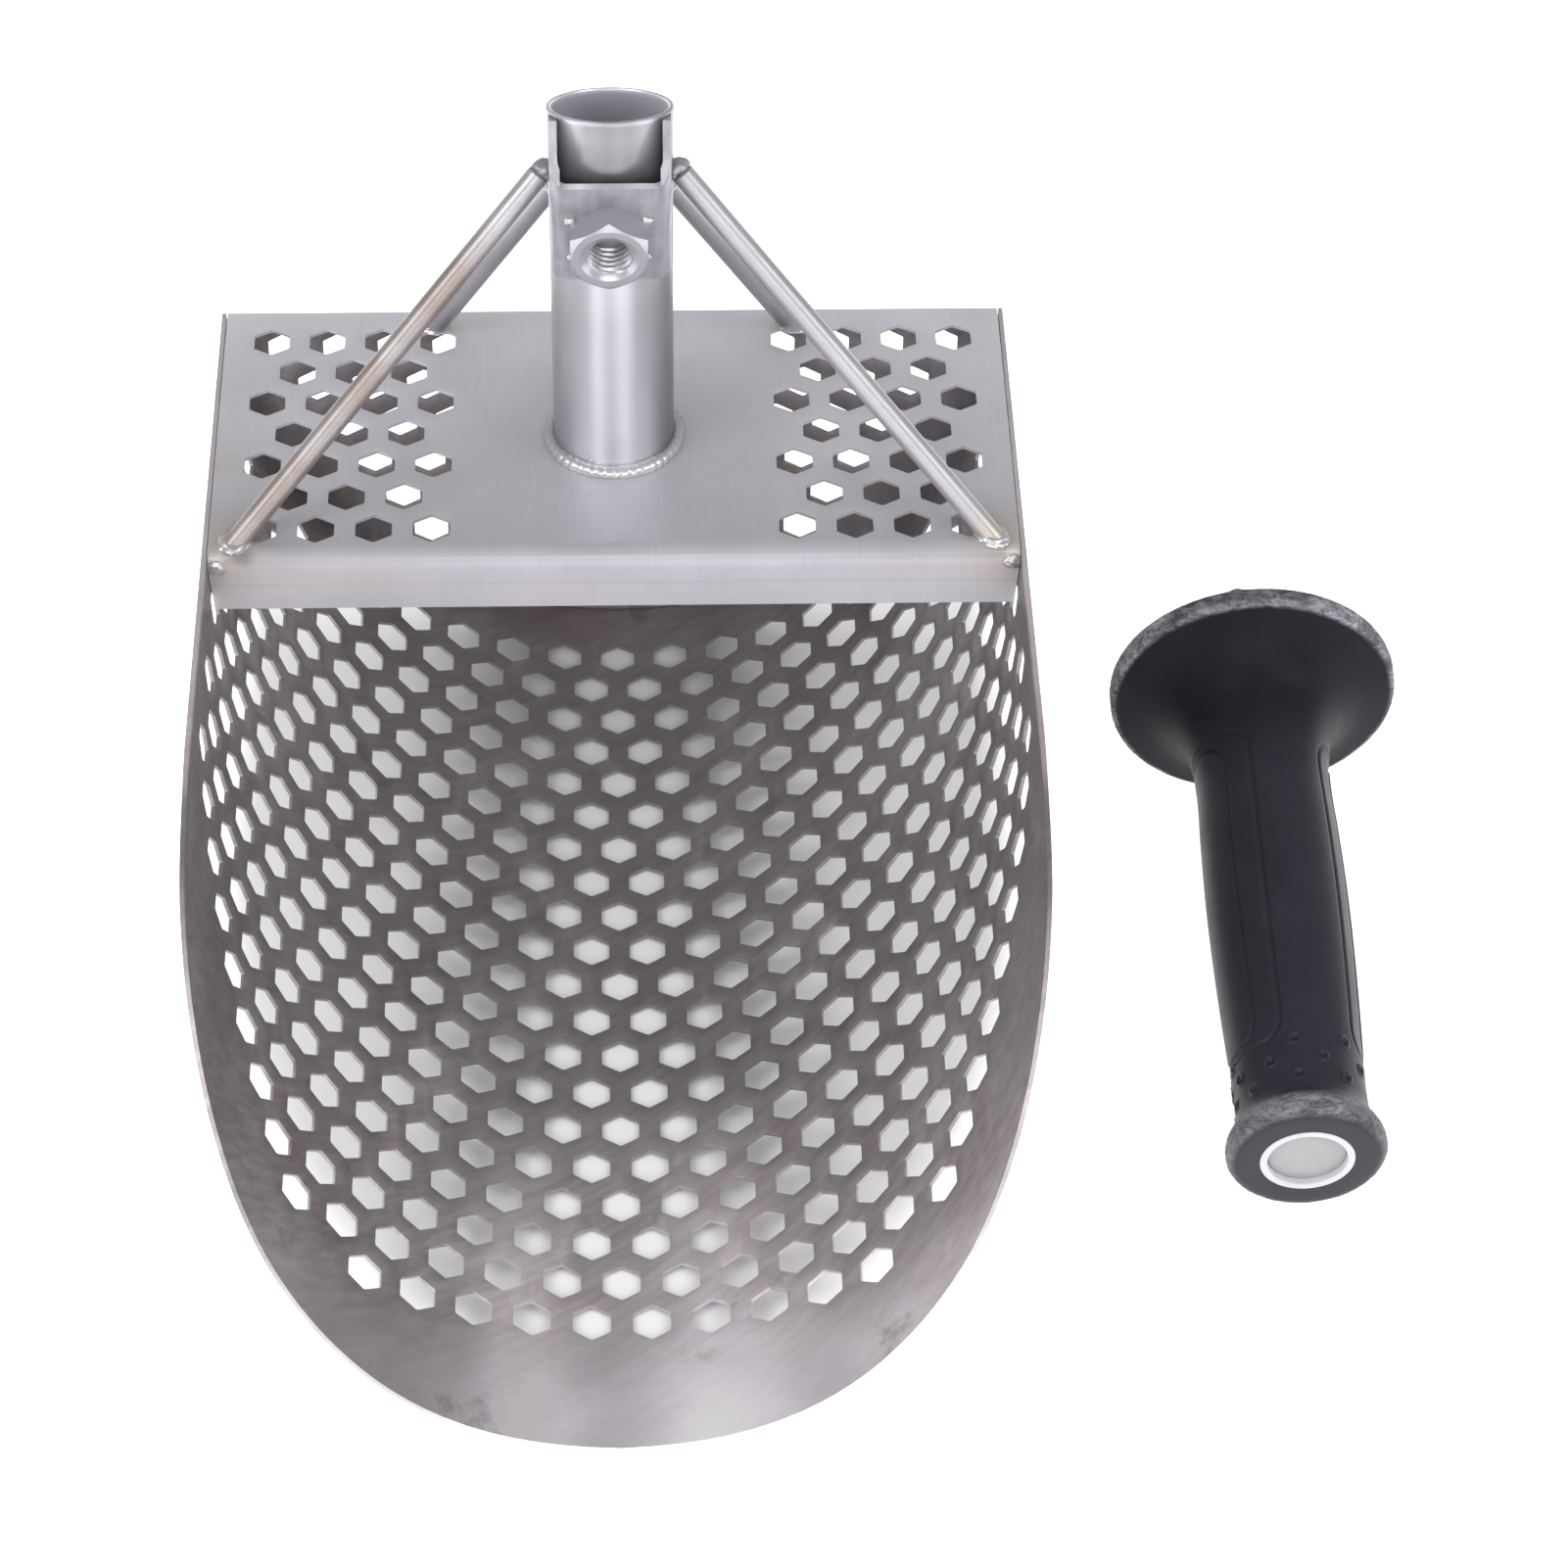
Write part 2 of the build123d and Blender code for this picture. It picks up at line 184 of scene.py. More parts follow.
def perforated_sheet(outline, holes, bend, spacing=7.5):
    """Closed mesh of a perforated sheet laid out flat in (u, v), then bent; its holes are rolled over."""
    roll, lip = 0.14, 0.35
    face_corner, wall_corner = 0.9, 0.7
    edge_margin, hole_margin = 0.38 * spacing, 1.2
    points, edges, loops = [], [], []

    def add_loop(loop):
        start = len(points)
        points.extend(loop)
        count = len(loop)
        edges.extend((start + i, start + (i + 1) % count) for i in range(count))
        loops.append(list(range(start, start + count)))

    add_loop(outline)
    for hole in holes:
        add_loop(hexagon_loop(hole, HOLE_APOTHEM + lip, face_corner))
    us = [p[0] for p in outline]
    vs = [p[1] for p in outline]
    grid = []
    row = 0
    v = min(vs) - spacing
    while v < max(vs) + spacing:
        u = min(us) - spacing + (row % 2) * spacing / 2
        while u < max(us) + spacing:
            grid.append((u, v))
            u += spacing
        v += spacing * SQ3 / 2
        row += 1
    grid = np.array(grid)
    keep = inside_polygon(grid[:, 0], grid[:, 1], outline)
    keep &= edge_distance(grid[:, 0], grid[:, 1], outline) > edge_margin
    if len(holes):
        centres = np.array(holes)
        gap = np.hypot(grid[:, None, 0] - centres[None, :, 0], grid[:, None, 1] - centres[None, :, 1])
        keep &= gap.min(1) > HOLE_APOTHEM * 2 / SQ3 + hole_margin
    points.extend(map(tuple, grid[keep]))
    out_points, _, out_faces, orig, _, _ = delaunay_2d_cdt([Vector(p) for p in points], edges, [], 0, 1e-5)
    flat = np.array([(p.x, p.y) for p in out_points])
    where = {}
    for index, sources in enumerate(orig):
        for source in sources:
            where[source] = index
    tri = np.array([tuple(f) for f in out_faces])
    centroid = flat[tri].mean(1)
    good = inside_polygon(centroid[:, 0], centroid[:, 1], outline)
    if len(holes):
        delta = centroid[:, None, :] - centres[None, :, :]
        nearest = np.argmin((delta ** 2).sum(2), 1)
        d = delta[np.arange(len(tri)), nearest]
        apothem = np.maximum(np.abs(d[:, 0]), np.abs(d[:, 0]) / 2 + np.abs(d[:, 1]) * SQ3 / 2)
        good &= apothem > HOLE_APOTHEM + lip - 0.02
    tri = tri[good]
    n = len(flat)
    verts = [bend(flat[:, 0], flat[:, 1], np.full(n, depth)) for depth in (0.0, SHEET)]
    faces = [tuple(f) for f in tri] + [(c + n, b + n, a + n) for a, b, c in tri]
    total = 2 * n
    outer = [where[i] for i in loops[0]]
    for i, a in enumerate(outer):
        b = outer[(i + 1) % len(outer)]
        faces.append((a, a + n, b + n, b))
    for hole, loop in zip(holes, loops[1:]):
        inner = np.array(hexagon_loop(hole, HOLE_APOTHEM, wall_corner))
        m = len(inner)
        verts.append(bend(inner[:, 0], inner[:, 1], np.full(m, roll)))
        verts.append(bend(inner[:, 0], inner[:, 1], np.full(m, SHEET - roll)))
        ring = [where[i] for i in loop]
        for i in range(m):
            j = (i + 1) % m
            faces.append((ring[i], ring[j], total + j, total + i))
            faces.append((total + i, total + j, total + m + j, total + m + i))
            faces.append((total + m + i, total + m + j, ring[j] + n, ring[i] + n))
        total += 2 * m
    return np.concatenate(verts), faces


# ---- materials

def new_material(name):
    material = bpy.data.materials.new(name)
    material.use_nodes = True
    nodes = material.node_tree.nodes
    nodes.clear()
    out = nodes.new("ShaderNodeOutputMaterial")
    bsdf = nodes.new("ShaderNodeBsdfPrincipled")
    material.node_tree.links.new(bsdf.outputs[0], out.inputs[0])
    return material, material.node_tree, bsdf


class Graph:
    """Small helper for wiring shader nodes."""

    def __init__(self, tree):
        self.tree = tree

    def link(self, value, socket):
        if isinstance(value, bpy.types.NodeSocket):
            self.tree.links.new(value, socket)
        elif value is not None:
            socket.default_value = value

    def position(self):
        return self.tree.nodes.new("ShaderNodeTexCoord").outputs["Object"]

    def scaled(self, vector, scale, rotation=(0, 0, 0)):
        node = self.tree.nodes.new("ShaderNodeMapping")
        self.link(vector, node.inputs["Vector"])
        node.inputs["Scale"].default_value = scale
        node.inputs["Rotation"].default_value = rotation
        return node.outputs[0]

    def noise(self, vector, scale, detail=4.0, roughness=0.55, distortion=0.0):
        node = self.tree.nodes.new("ShaderNodeTexNoise")
        self.link(vector, node.inputs["Vector"])
        node.inputs["Scale"].default_value = scale
        node.inputs["Detail"].default_value = detail
        node.inputs["Roughness"].default_value = roughness
        node.inputs["Distortion"].default_value = distortion
        return node.outputs["Fac"]

    def map_range(self, value, a, b, c, d, smooth=False):
        node = self.tree.nodes.new("ShaderNodeMapRange")
        if smooth:
            node.interpolation_type = "SMOOTHSTEP"
        self.link(value, node.inputs[0])
        for index, number in enumerate((a, b, c, d)):
            self.link(number, node.inputs[index + 1])
        return node.outputs[0]

    def math(self, operation, a, b=None):
        node = self.tree.nodes.new("ShaderNodeMath")
        node.operation = operation
        self.link(a, node.inputs[0])
        self.link(b, node.inputs[1])
        return node.outputs[0]

    def mix(self, factor, a, b, blend="MIX"):
        node = self.tree.nodes.new("ShaderNodeMix")
        node.data_type = "RGBA"
        node.blend_type = blend
        self.link(factor, node.inputs[0])
        self.link(a if isinstance(a, bpy.types.NodeSocket) else (*a, 1), node.inputs[6])
        self.link(b if isinstance(b, bpy.types.NodeSocket) else (*b, 1), node.inputs[7])
        return node.outputs[2]

    def bump(self, height, strength, distance, normal=None):
        node = self.tree.nodes.new("ShaderNodeBump")
        node.inputs["Strength"].default_value = strength
        node.inputs["Distance"].default_value = distance
        self.link(height, node.inputs["Height"])
        if normal is not None:
            self.link(normal, node.inputs["Normal"])
        return node.outputs[0]

    def separate(self, vector):
        node = self.tree.nodes.new("ShaderNodeSeparateXYZ")
        self.link(vector, node.inputs[0])
        return node.outputs

    def facing_up(self):
        """Height of the surface's normal: one where it faces straight up."""
        return self.separate(self.tree.nodes.new("ShaderNodeNewGeometry").outputs["Normal"])[2]

    def bump_at(self, value, centre, width):
        """Smooth hump of height one where a value passes a centre."""
        away = self.math("DIVIDE", self.math("SUBTRACT", value, centre), width)
        return self.math("POWER", math.e, self.math("MULTIPLY", self.math("MULTIPLY", away, away), -1.0))

    def total(self, *terms):
        result = terms[0]
        for term in terms[1:]:
            result = self.math("ADD", result, term)
        return result

    def times(self, *terms):
        result = terms[0]
        for term in terms[1:]:
            result = self.math("MULTIPLY", result, term)
        return result

    def brighten(self, colour, factor):
        node = self.tree.nodes.new("ShaderNodeVectorMath")
        node.operation = "SCALE"
        self.link(colour, node.inputs[0])
        self.link(factor, node.inputs["Scale"])
        return node.outputs[0]

    def vector_math(self, operation, a, b=None):
        node = self.tree.nodes.new("ShaderNodeVectorMath")
        node.operation = operation
        self.link(a, node.inputs[0])
        self.link(b, node.inputs[1])
        return node.outputs

    def spot(self, vector, mark, grain, ragged, inner, outer):
        """Ragged round mark, given as (centre, radius, amount) in millimetres, fading outwards."""
        centre, radius, amount = mark
        near = self.vector_math("DISTANCE", vector, tuple(c * MM for c in centre))["Value"]
        wobble = self.total(near, self.times(self.noise(vector, *grain), radius * MM * ragged))
        return self.map_range(wobble, radius * MM * inner, radius * MM * outer, amount, 0.0, True)


def toned(colour, factor):
    return tuple(c * factor for c in colour)


def steel_material(name, base, rough, brush, brush_strength, metallic, mottling=0.10, tint_points=(),
                   dark_points=(), shade=None):
    """Satin stainless: fine brushing, soft mottling in tone and gloss, and heat tint round given points."""
    material, tree, bsdf = new_material(name)
    g = Graph(tree)
    pos = g.position()
    fine = g.noise(g.scaled(pos, brush), 1.0, 5.0, 0.65)
    cloud = g.noise(pos, 28.0, 3.0, 0.5)
    grain = g.noise(pos, 900.0, 2.0, 0.5)
    patches = g.map_range(cloud, 0.3, 0.7, 0.0, 1.0)
    colour = g.mix(patches, toned(base, 1 - mottling), toned(base, 1 + mottling * 0.6))
    colour = g.mix(g.map_range(fine, 0.25, 0.75, 0.0, 0.22), colour, toned(base, 0.72))
    for mark in tint_points:
        colour = g.mix(g.spot(pos, mark, (60.0, 3.0), 0.5, 0.35, 1.25), colour, HEAT_TINT)
    for mark in dark_points:
        colour = g.mix(g.spot(pos, mark, (160.0, 4.0), 0.8, 0.4, 1.3), colour, SOOT)
    # The hood's, basket's, tube's and bracket's shade functions paint light and shade into the colour; the
    # rods' only adds a brown heat tint
    if shade is not None:
        colour = shade(g, pos, colour)
    g.link(colour, bsdf.inputs["Base Color"])
    roughness = g.total(g.map_range(fine, 0.2, 0.8, rough - 0.05, rough + 0.07),
                        g.map_range(cloud, 0.3, 0.7, -0.03, 0.03))
    g.link(roughness, bsdf.inputs["Roughness"])
    bsdf.inputs["Metallic"].default_value = metallic
    normal = g.bump(fine, brush_strength, 0.00006)
    normal = g.bump(grain, 0.05, 0.00005, normal)
    g.link(normal, bsdf.inputs["Normal"])
    return material


def plastic_material(name, base, rough):
    """Dull plastic, faintly clouded and grained."""
    material, tree, bsdf = new_material(name)
    g = Graph(tree)
    pos = g.position()
    cloud = g.noise(pos, 120.0, 4.0)
    grain = g.noise(pos, 1800.0, 2.0)
    colour = g.mix(g.map_range(cloud, 0.3, 0.7, 0, 1), toned(base, 0.9), base)
    g.link(colour, bsdf.inputs["Base Color"])
    g.link(g.map_range(grain, 0.3, 0.7, rough - 0.05, rough + 0.05), bsdf.inputs["Roughness"])
    g.link(g.bump(grain, 0.08, 0.0001), bsdf.inputs["Normal"])
    bsdf.inputs["Subsurface Weight"].default_value = 0.1
    bsdf.inputs["Subsurface Radius"].default_value = (0.002, 0.002, 0.002)
    return material


def hood_shade(g, pos, colour):
    """The folded flange is painted lighter than the top, more so to the right, the top is painted lighter
    towards the back, and a faint darker line runs along the flange.
    """
    x, y, z = g.separate(pos)
    flange = g.map_range(z, -0.0022, -0.0042, 0.0, 1.0, True)
    # Painted light: the hood lighter towards the back, and the flange lighter than the top, more so to the
    # right
    back = g.map_range(y, -0.045, 0.050, -0.13, 0.26)
    line = g.times(g.bump_at(z, -0.0105, 0.0005), flange, -0.10)
    flange_painted_light = g.times(flange, g.map_range(x, -0.1, 0.1, 0.10, 0.26))
    colour = g.brighten(colour, g.total(1.0, flange_painted_light, back, line))
    blotch = g.noise(g.scaled(pos, (14, 60, 60)), 1.0, 4.0)
    warm = g.times(flange, g.map_range(blotch, 0.45, 0.65, 0.0, 0.30, True))
    return g.mix(warm, colour, (0.60, 0.54, 0.53))


def basket_shade(g, pos, colour):
    """Rolled sheet: stains, slantwise brushing, and painted light: lighter towards the lip, the back and the
    top edge, darker on the left, with two painted highlight bands running down towards the lip.
    """
    x, y, z = g.separate(pos)
    # Painted light and shade: the sheet lighter towards the lip, towards the back and along its top edge,
    # darker on its left side
    along = g.map_range(y, -0.135, -0.225, 0.0, 1.0, True)
    painted_light_towards_back = g.map_range(y, -0.11, -0.06, 0.0, 0.10)
    lip = g.map_range(y, -0.205, -0.245, 0.0, 1.0, True)
    painted_light_right_side = g.map_range(x, -0.070, 0.030, 0.25, 1.0, True)
    # Two painted highlight bands down the front of the sheet
    painted_streaks = g.total(g.bump_at(x, -0.024, 0.013), g.bump_at(x, 0.026, 0.015))
    painted_top_edge_light = g.map_range(z, -0.0045, -0.0010, 0.0, 1.2, True)
    slanted = g.scaled(pos, (1, 1, 1), (0, 0, -0.65))
    brushed = g.map_range(g.noise(g.scaled(slanted, (36, 420, 200)), 1.0, 4.0, 0.6), 0.35, 0.65, -0.13, 0.13)
    # factor carries the painted light and the brushing's tone together
    factor = g.total(1.0, g.times(along, 0.66, g.math("MAXIMUM", painted_light_right_side, 0.45)), painted_light_towards_back,
                     g.times(painted_streaks, along, 1.05), g.times(lip, painted_light_right_side, 1.1), painted_top_edge_light,
                     g.times(brushed, g.total(0.7, along, g.times(lip, -1.1))))
    colour = g.brighten(colour, factor)
    stain = g.noise(g.scaled(pos, (24, 13, 24), (0, 0, 0.5)), 1.0, 5.0, 0.62, 0.8)
    stained = g.times(g.map_range(stain, 0.48, 0.64, 0.0, 0.60, True), g.map_range(lip, 0.0, 1.0, 1.0, 0.35))
    colour = g.mix(stained, colour, g.brighten((0.235, 0.195, 0.18), factor))
    pale = g.noise(g.scaled(pos, (38, 18, 38), (0, 0, -0.7)), 1.0, 5.0, 0.6, 0.5)
    polished = g.times(g.map_range(pale, 0.55, 0.70, 0.0, 0.60, True), g.map_range(lip, 0.0, 1.0, 1.0, 0.25))
    colour = g.mix(polished, colour, g.brighten(colour, 1.45))
    colour = g.mix(g.times(lip, 0.8), colour, g.mix(1.0, colour, (0.97, 1.0, 1.0), "MULTIPLY"))
    dark = g.noise(g.scaled(pos, (55, 45, 55)), 1.0, 5.0, 0.65)
    return g.mix(g.map_range(dark, 0.60, 0.74, 0.0, 0.40, True), colour, (0.11, 0.10, 0.10))


def tube_shade(g, pos, colour):
    """Drawn tube: two painted highlight bands down its front, painted shade on its flanks and in the recess
    above the bracket's plate, and a speckled bore painted lighter.
    """
    x, y, z = g.separate(pos)
    front = g.map_range(y, -0.004, -0.010, 0.0, 1.0, True)
    low = g.map_range(z, 0.060, 0.068, 1.0, 0.25, True)
    # Painted highlights: two bright bands low on the front
    painted_streaks = g.total(g.times(g.bump_at(x, -0.0038, 0.0022), 0.62),
                      g.times(g.bump_at(x, 0.0032, 0.0026), 0.50))
    # Painted shade: darker flanks, the right one more
    edges = g.total(g.map_range(x, -0.0090, -0.0150, 0.0, -0.22, True),
                    g.map_range(x, 0.0080, 0.0148, 0.0, -0.50, True))
    # Painted light: the bore lighter than the outside
    radius = g.math("SQRT", g.total(g.times(x, x), g.times(y, y)))
    inside = g.map_range(radius, 0.0149, 0.0154, 1.0, 0.0)
    outside = g.math("SUBTRACT", 1.0, inside)
    # Painted shade in the recess above the bracket's plate: darker low down and towards the middle
    shaded = g.total(g.map_range(z, 0.097, 0.111, -0.50, -0.32, True),
                     g.map_range(g.math("ABSOLUTE", x), 0.003, 0.011, -0.06, 0.50, True))
    painted_window_shade = g.times(front, shaded, g.map_range(z, 0.090, 0.094, 0.0, 1.0))
    painted_streak_light = g.times(painted_streaks, front, low)
    factor = g.total(1.0, painted_window_shade, painted_streak_light, g.times(edges, outside), g.times(inside, 0.75))
    colour = g.brighten(colour, factor)
    speck = g.noise(pos, 1500.0, 3.0, 0.7)
    return g.mix(g.times(inside, g.map_range(speck, 0.60, 0.72, 0.0, 0.6, True)), colour, (0.85, 0.85, 0.88))


def rod_shade(g, pos, colour):
    """The front left strut is heat-tinted brown over most of its length."""
    x, y, _ = g.separate(pos)
    left = g.times(g.map_range(x, -0.026, -0.040, 0.0, 1.0, True),
                   g.map_range(y, -0.006, -0.012, 0.0, 1.0, True))
    blotch = g.map_range(g.noise(pos, 70.0, 4.0), 0.35, 0.6, 0.55, 1.0, True)
    return g.mix(g.times(left, blotch), colour, (0.30, 0.255, 0.24))


def bracket_shade(g, pos, colour):
    """Bracket plate with faint grinding marks, a painted highlight on its upward-facing top face and painted
    shade on each wing above it.
    """
    z = g.separate(pos)[2]
    marks = g.noise(g.scaled(pos, (500, 500, 60)), 1.0, 4.0, 0.6)
    # Painted shade on each wing above the plate, and a painted highlight on the upward-facing top face
    painted_wing_shade = g.map_range(z, 0.0962, 0.0975, 0.0, -0.30)
    painted_ledge_light = g.times(g.map_range(g.facing_up(), 0.6, 0.8, 0.0, 1.3),
                    g.map_range(z, 0.0962, 0.0975, 1.0, 0.0))
    cloud = g.map_range(g.noise(pos, 190.0, 3.0), 0.35, 0.65, -0.10, 0.12)
    return g.brighten(colour, g.total(g.map_range(marks, 0.3, 0.7, 0.9, 1.12), painted_wing_shade, painted_ledge_light, cloud))


STEEL_HOOD = steel_material(
    "steel_hood", base=(0.53, 0.525, 0.565), rough=0.46, brush=(900, 60, 60), brush_strength=0.10,
    metallic=0.62, mottling=0.07, shade=hood_shade,
    tint_points=(((-103, -44, 0), 20, 0.6), ((103, -44, 0), 20, 0.55), ((-104, -10, 0), 9, 0.3),
                 ((47, 46, 0), 9, 0.4), ((-47, 46, 0), 9, 0.4)),
    dark_points=(((-96, -47, -1), 5, 0.5), ((-98, -39, 0), 4, 0.5), ((98, -40, 0), 4, 0.4)))
STEEL_BASKET = steel_material(
    "steel_basket", base=(0.302, 0.278, 0.294), rough=0.42, brush=(30, 600, 30), brush_strength=0.12,
    metallic=0.85, mottling=0.16, shade=basket_shade)
STEEL_TUBE = steel_material(
    "steel_tube", base=(0.50, 0.495, 0.53), rough=0.36, brush=(60, 60, 30), brush_strength=0.04,
    metallic=0.75, shade=tube_shade)
STEEL_BRACKET = steel_material(
    "steel_bracket", base=(0.37, 0.365, 0.40), rough=0.36, brush=(60, 60, 30), brush_strength=0.08,
    metallic=0.75, shade=bracket_shade)
STEEL_ROD = steel_material(
    "steel_rod", base=(0.43, 0.42, 0.445), rough=0.40, brush=(60, 60, 60), brush_strength=0.06,
    metallic=0.8, shade=rod_shade, tint_points=(((-98, -42, 2), 8, 0.8), ((98, -42, 2), 8, 0.7)))
STEEL_NUT = steel_material(
    "steel_nut", base=(0.45, 0.445, 0.48), rough=0.32, brush=(90, 90, 90), brush_strength=0.05,
    metallic=0.75)
WELD = steel_material(
    "weld_metal", base=(0.60, 0.59, 0.61), rough=0.30, brush=(300, 300, 300), brush_strength=0.15,
    metallic=0.8, mottling=0.2)
WHITE_PLASTIC = plastic_material("white_plastic", (0.46, 0.46, 0.485), 0.45)
GREY_PLASTIC = plastic_material("grey_plastic", (0.275, 0.27, 0.28), 0.5)


def rubber_material():
    """Black rubber with grey wear on the disc's edge and on the end bead, and painted shade darkening the
    disc and the neck next to it.
    """
    material, tree, bsdf = new_material("black_rubber")
    g = Graph(tree)
    pos = g.position()
    offset = g.vector_math("SUBTRACT", pos, tuple(DISC_BACK * MM))[0]
    along = g.vector_math("DOT_PRODUCT", offset, tuple(GRIP_DIR))["Value"]
    reach = g.vector_math("LENGTH", offset)["Value"]
    squared = g.math("SUBTRACT", g.math("POWER", reach, 2.0), g.math("POWER", along, 2.0))
    radial = g.math("SQRT", g.math("MAXIMUM", squared, 0.0))
    cloud = g.noise(pos, 70.0, 5.0, 0.6)
    scuff = g.noise(g.scaled(pos, (0.35, 1.0, 1.0)), 520.0, 6.0, 0.75, 1.5)
    patch = g.noise(pos, 75.0, 3.0, 0.6)
    grain = g.noise(pos, 2600.0, 2.0)
    colour = g.mix(g.map_range(cloud, 0.3, 0.7, 0, 1), (0.0135, 0.0140, 0.0205), (0.0180, 0.0186, 0.0260))
    # Painted shade: darker on the disc and the neck close to it
    colour = g.brighten(colour, g.map_range(along, 0.018, 0.048, 0.62, 1.0, True))
    edge_wear = g.map_range(radial, 0.0366, 0.0383, 0.0, 1.0, True)
    bead_wear = g.times(g.map_range(radial, 0.0180, 0.0202, 0.0, 1.0, True),
                        g.map_range(along, 0.1500, 0.1540, 0.0, 1.0, True))
    wear = g.math("MAXIMUM", edge_wear, bead_wear)
    worn = g.times(wear, g.map_range(scuff, 0.38, 0.62, 0.15, 1.0),
                   g.map_range(patch, 0.35, 0.6, 0.35, 1.15, True))
    colour = g.mix(worn, colour, g.mix(edge_wear, (0.19, 0.185, 0.205), (0.30, 0.295, 0.325)))
    g.link(colour, bsdf.inputs["Base Color"])
    g.link(g.total(g.map_range(cloud, 0.3, 0.7, 0.40, 0.48), g.times(worn, 0.22)), bsdf.inputs["Roughness"])
    g.link(g.map_range(along, 0.018, 0.048, 0.07, 0.22, True), bsdf.inputs["Specular IOR Level"])
    normal = g.bump(grain, 0.12, 0.00008)
    normal = g.bump(g.times(scuff, wear), 0.5, 0.0005, normal)
    g.link(normal, bsdf.inputs["Normal"])
    return material


RUBBER = rubber_material()


# ---- basket

# (y, z) along the rim, from the hood forwards and down to the lip
RIM = [(-117.0, 0.0), (-138.0, -4.2), (-159.0, -11.0), (-175.0, -20.6), (-190.5, -31.7), (-206.0, -43.6),
       (-219.6, -55.2), (-230.2, -65.6), (-239.3, -77.0), (-245.4, -85.9), (-249.9, -93.5), (-253.4, -101.5),
       (LIP, FLOOR_Z)]


def rim_slope(k):
    """Slope of the rim's curve at one of its points, level at the first and steepest at the lip."""
    if k == 0:
        return 0.0
    before = RIM[k - 1]
    after = RIM[min(k + 1, len(RIM) - 1)]
    steeper = 1.6 if k == len(RIM) - 1 else 1.0
    return (after[1] - before[1]) / (after[0] - before[0]) * steeper


def rim_height(y):
    """Height of the basket's rim at a place along its length, by a smooth curve through the rim points."""
    i = 0
    while i < len(RIM) - 2 and y < RIM[i + 1][0]:
        i += 1
    step = RIM[i + 1][0] - RIM[i][0]
    t = (y - RIM[i][0]) / step
    return hermite(t, RIM[i][1], RIM[i + 1][1], rim_slope(i) * step, rim_slope(i + 1) * step)


def arc_position(z):
    """Distance round the sheet from its lowest line up to a height."""
    if z >= AXIS_Z:
        return BASKET_R * math.pi / 2 + z - AXIS_Z
    return BASKET_R * math.acos(min(1.0, (AXIS_Z - z) / BASKET_R))


def basket_bend(u, v, t):
    """u runs round the half cylinder and straight up its sides, v along it, t out through the sheet."""
    u, v, t = (np.asarray(a, float) for a in (u, v, t))
    quarter = BASKET_R * math.pi / 2
    theta = np.clip(u, -quarter, quarter) / BASKET_R
    over = np.maximum(np.abs(u) - quarter, 0)
    return np.stack([(BASKET_R + t) * np.sin(theta), v, AXIS_Z - (BASKET_R + t) * np.cos(theta) + over], 1)


def basket_holes():
    holes = []
    for row in range(-10, 10):
        limit = 10 - (row % 2) / 2 if row < 2 else 10 - row / 2
        if row == 9:
            limit = 4.5
        for k in range(int(2 * limit) + 1):
            holes.append(((k - limit) * PITCH, -99.0 - row * ROW))
    return holes


def basket_outline():
    """Flat outline: straight sides under the hood, then the rim's curve round the lip."""
    side = arc_position(0.0)
    right = [(u, BACK) for u in np.linspace(0, side, 24)]
    right += [(side, y) for y in np.linspace(BACK - 6, RIM[0][0], 26)]
    for y in np.concatenate([np.linspace(-119.5, -240, 52), np.linspace(-241.5, -252.5, 12)]):
        right.append((arc_position(rim_height(y)), y))
    last_u = right[-1][0]
    for f in (0.86, 0.72, 0.58, 0.44, 0.30, 0.16):
        u = last_u * f
        z = AXIS_Z - BASKET_R * math.cos(u / BASKET_R)
        lo, hi = LIP, -250.0
        for _ in range(40):
            mid = (lo + hi) / 2
            if rim_height(mid) > z:
                hi = mid
            else:
                lo = mid
        right.append((u, hi))
    return right + [(0.0, LIP)] + [(-u, v) for u, v in reversed(right[1:])]


verts, faces = perforated_sheet(basket_outline(), basket_holes(), basket_bend)
make_object("basket", verts, faces, "scoop", STEEL_BASKET, ("basket_shell",), angle=40)


# ---- hood and back wall

def hood_bend(u, v, t):
    """v runs from the back edge forwards along the top face, round the fold and down the flange."""
    u, v, t = (np.asarray(a, float) for a in (u, v, t))
    flat = BACK - (HOOD_FRONT + FOLD_R)
    arc = FOLD_R * math.pi / 2
    along = np.clip(v - flat, 0, arc) / FOLD_R
    down = np.maximum(v - flat - arc, 0)
    y = np.where(v < flat, BACK - v, HOOD_FRONT + FOLD_R - (FOLD_R - t) * np.sin(along))
    z = np.where(v < flat, -t, -FOLD_R + (FOLD_R - t) * np.cos(along) - down)
    return np.stack([u, y, z], 1)


def hood_outline():
    """Flat outline of the hood; the flange's ends follow the basket's curve."""
    flat = BACK - (HOOD_FRONT + FOLD_R)
    arc = FOLD_R * math.pi / 2
    length = flat + arc + FLANGE - FOLD_R
    right = [(0.0, 0.0)] + [(x, 0.0) for x in np.linspace(8, HOOD_HALF, 14)]
    right += [(HOOD_HALF, v) for v in np.linspace(7, flat, 13)]
    right += [(HOOD_HALF, flat + arc * k / 5) for k in range(1, 6)]
    for k in range(1, 5):
        z = -FOLD_R - (FLANGE - FOLD_R) * k / 4
        right.append((math.sqrt(HOOD_HALF**2 - min(0.0, z - AXIS_Z)**2), flat + arc - FOLD_R - z))
    right += [(x, length) for x in np.linspace(right[-1][0] - 8, 8, 13)]
    right += [(0.0, length)]
    left = [(-u, v) for u, v in reversed(right[1:-1])]
    return right + left


def hood_holes():
    holes = []
    for row in range(7):
        y = -37.5 + row * ROW
        for column in range(4 - row % 2):
            x = 47.7 + (column + (row % 2) / 2) * PITCH
            holes += [(x, BACK - y), (-x, BACK - y)]
    return holes


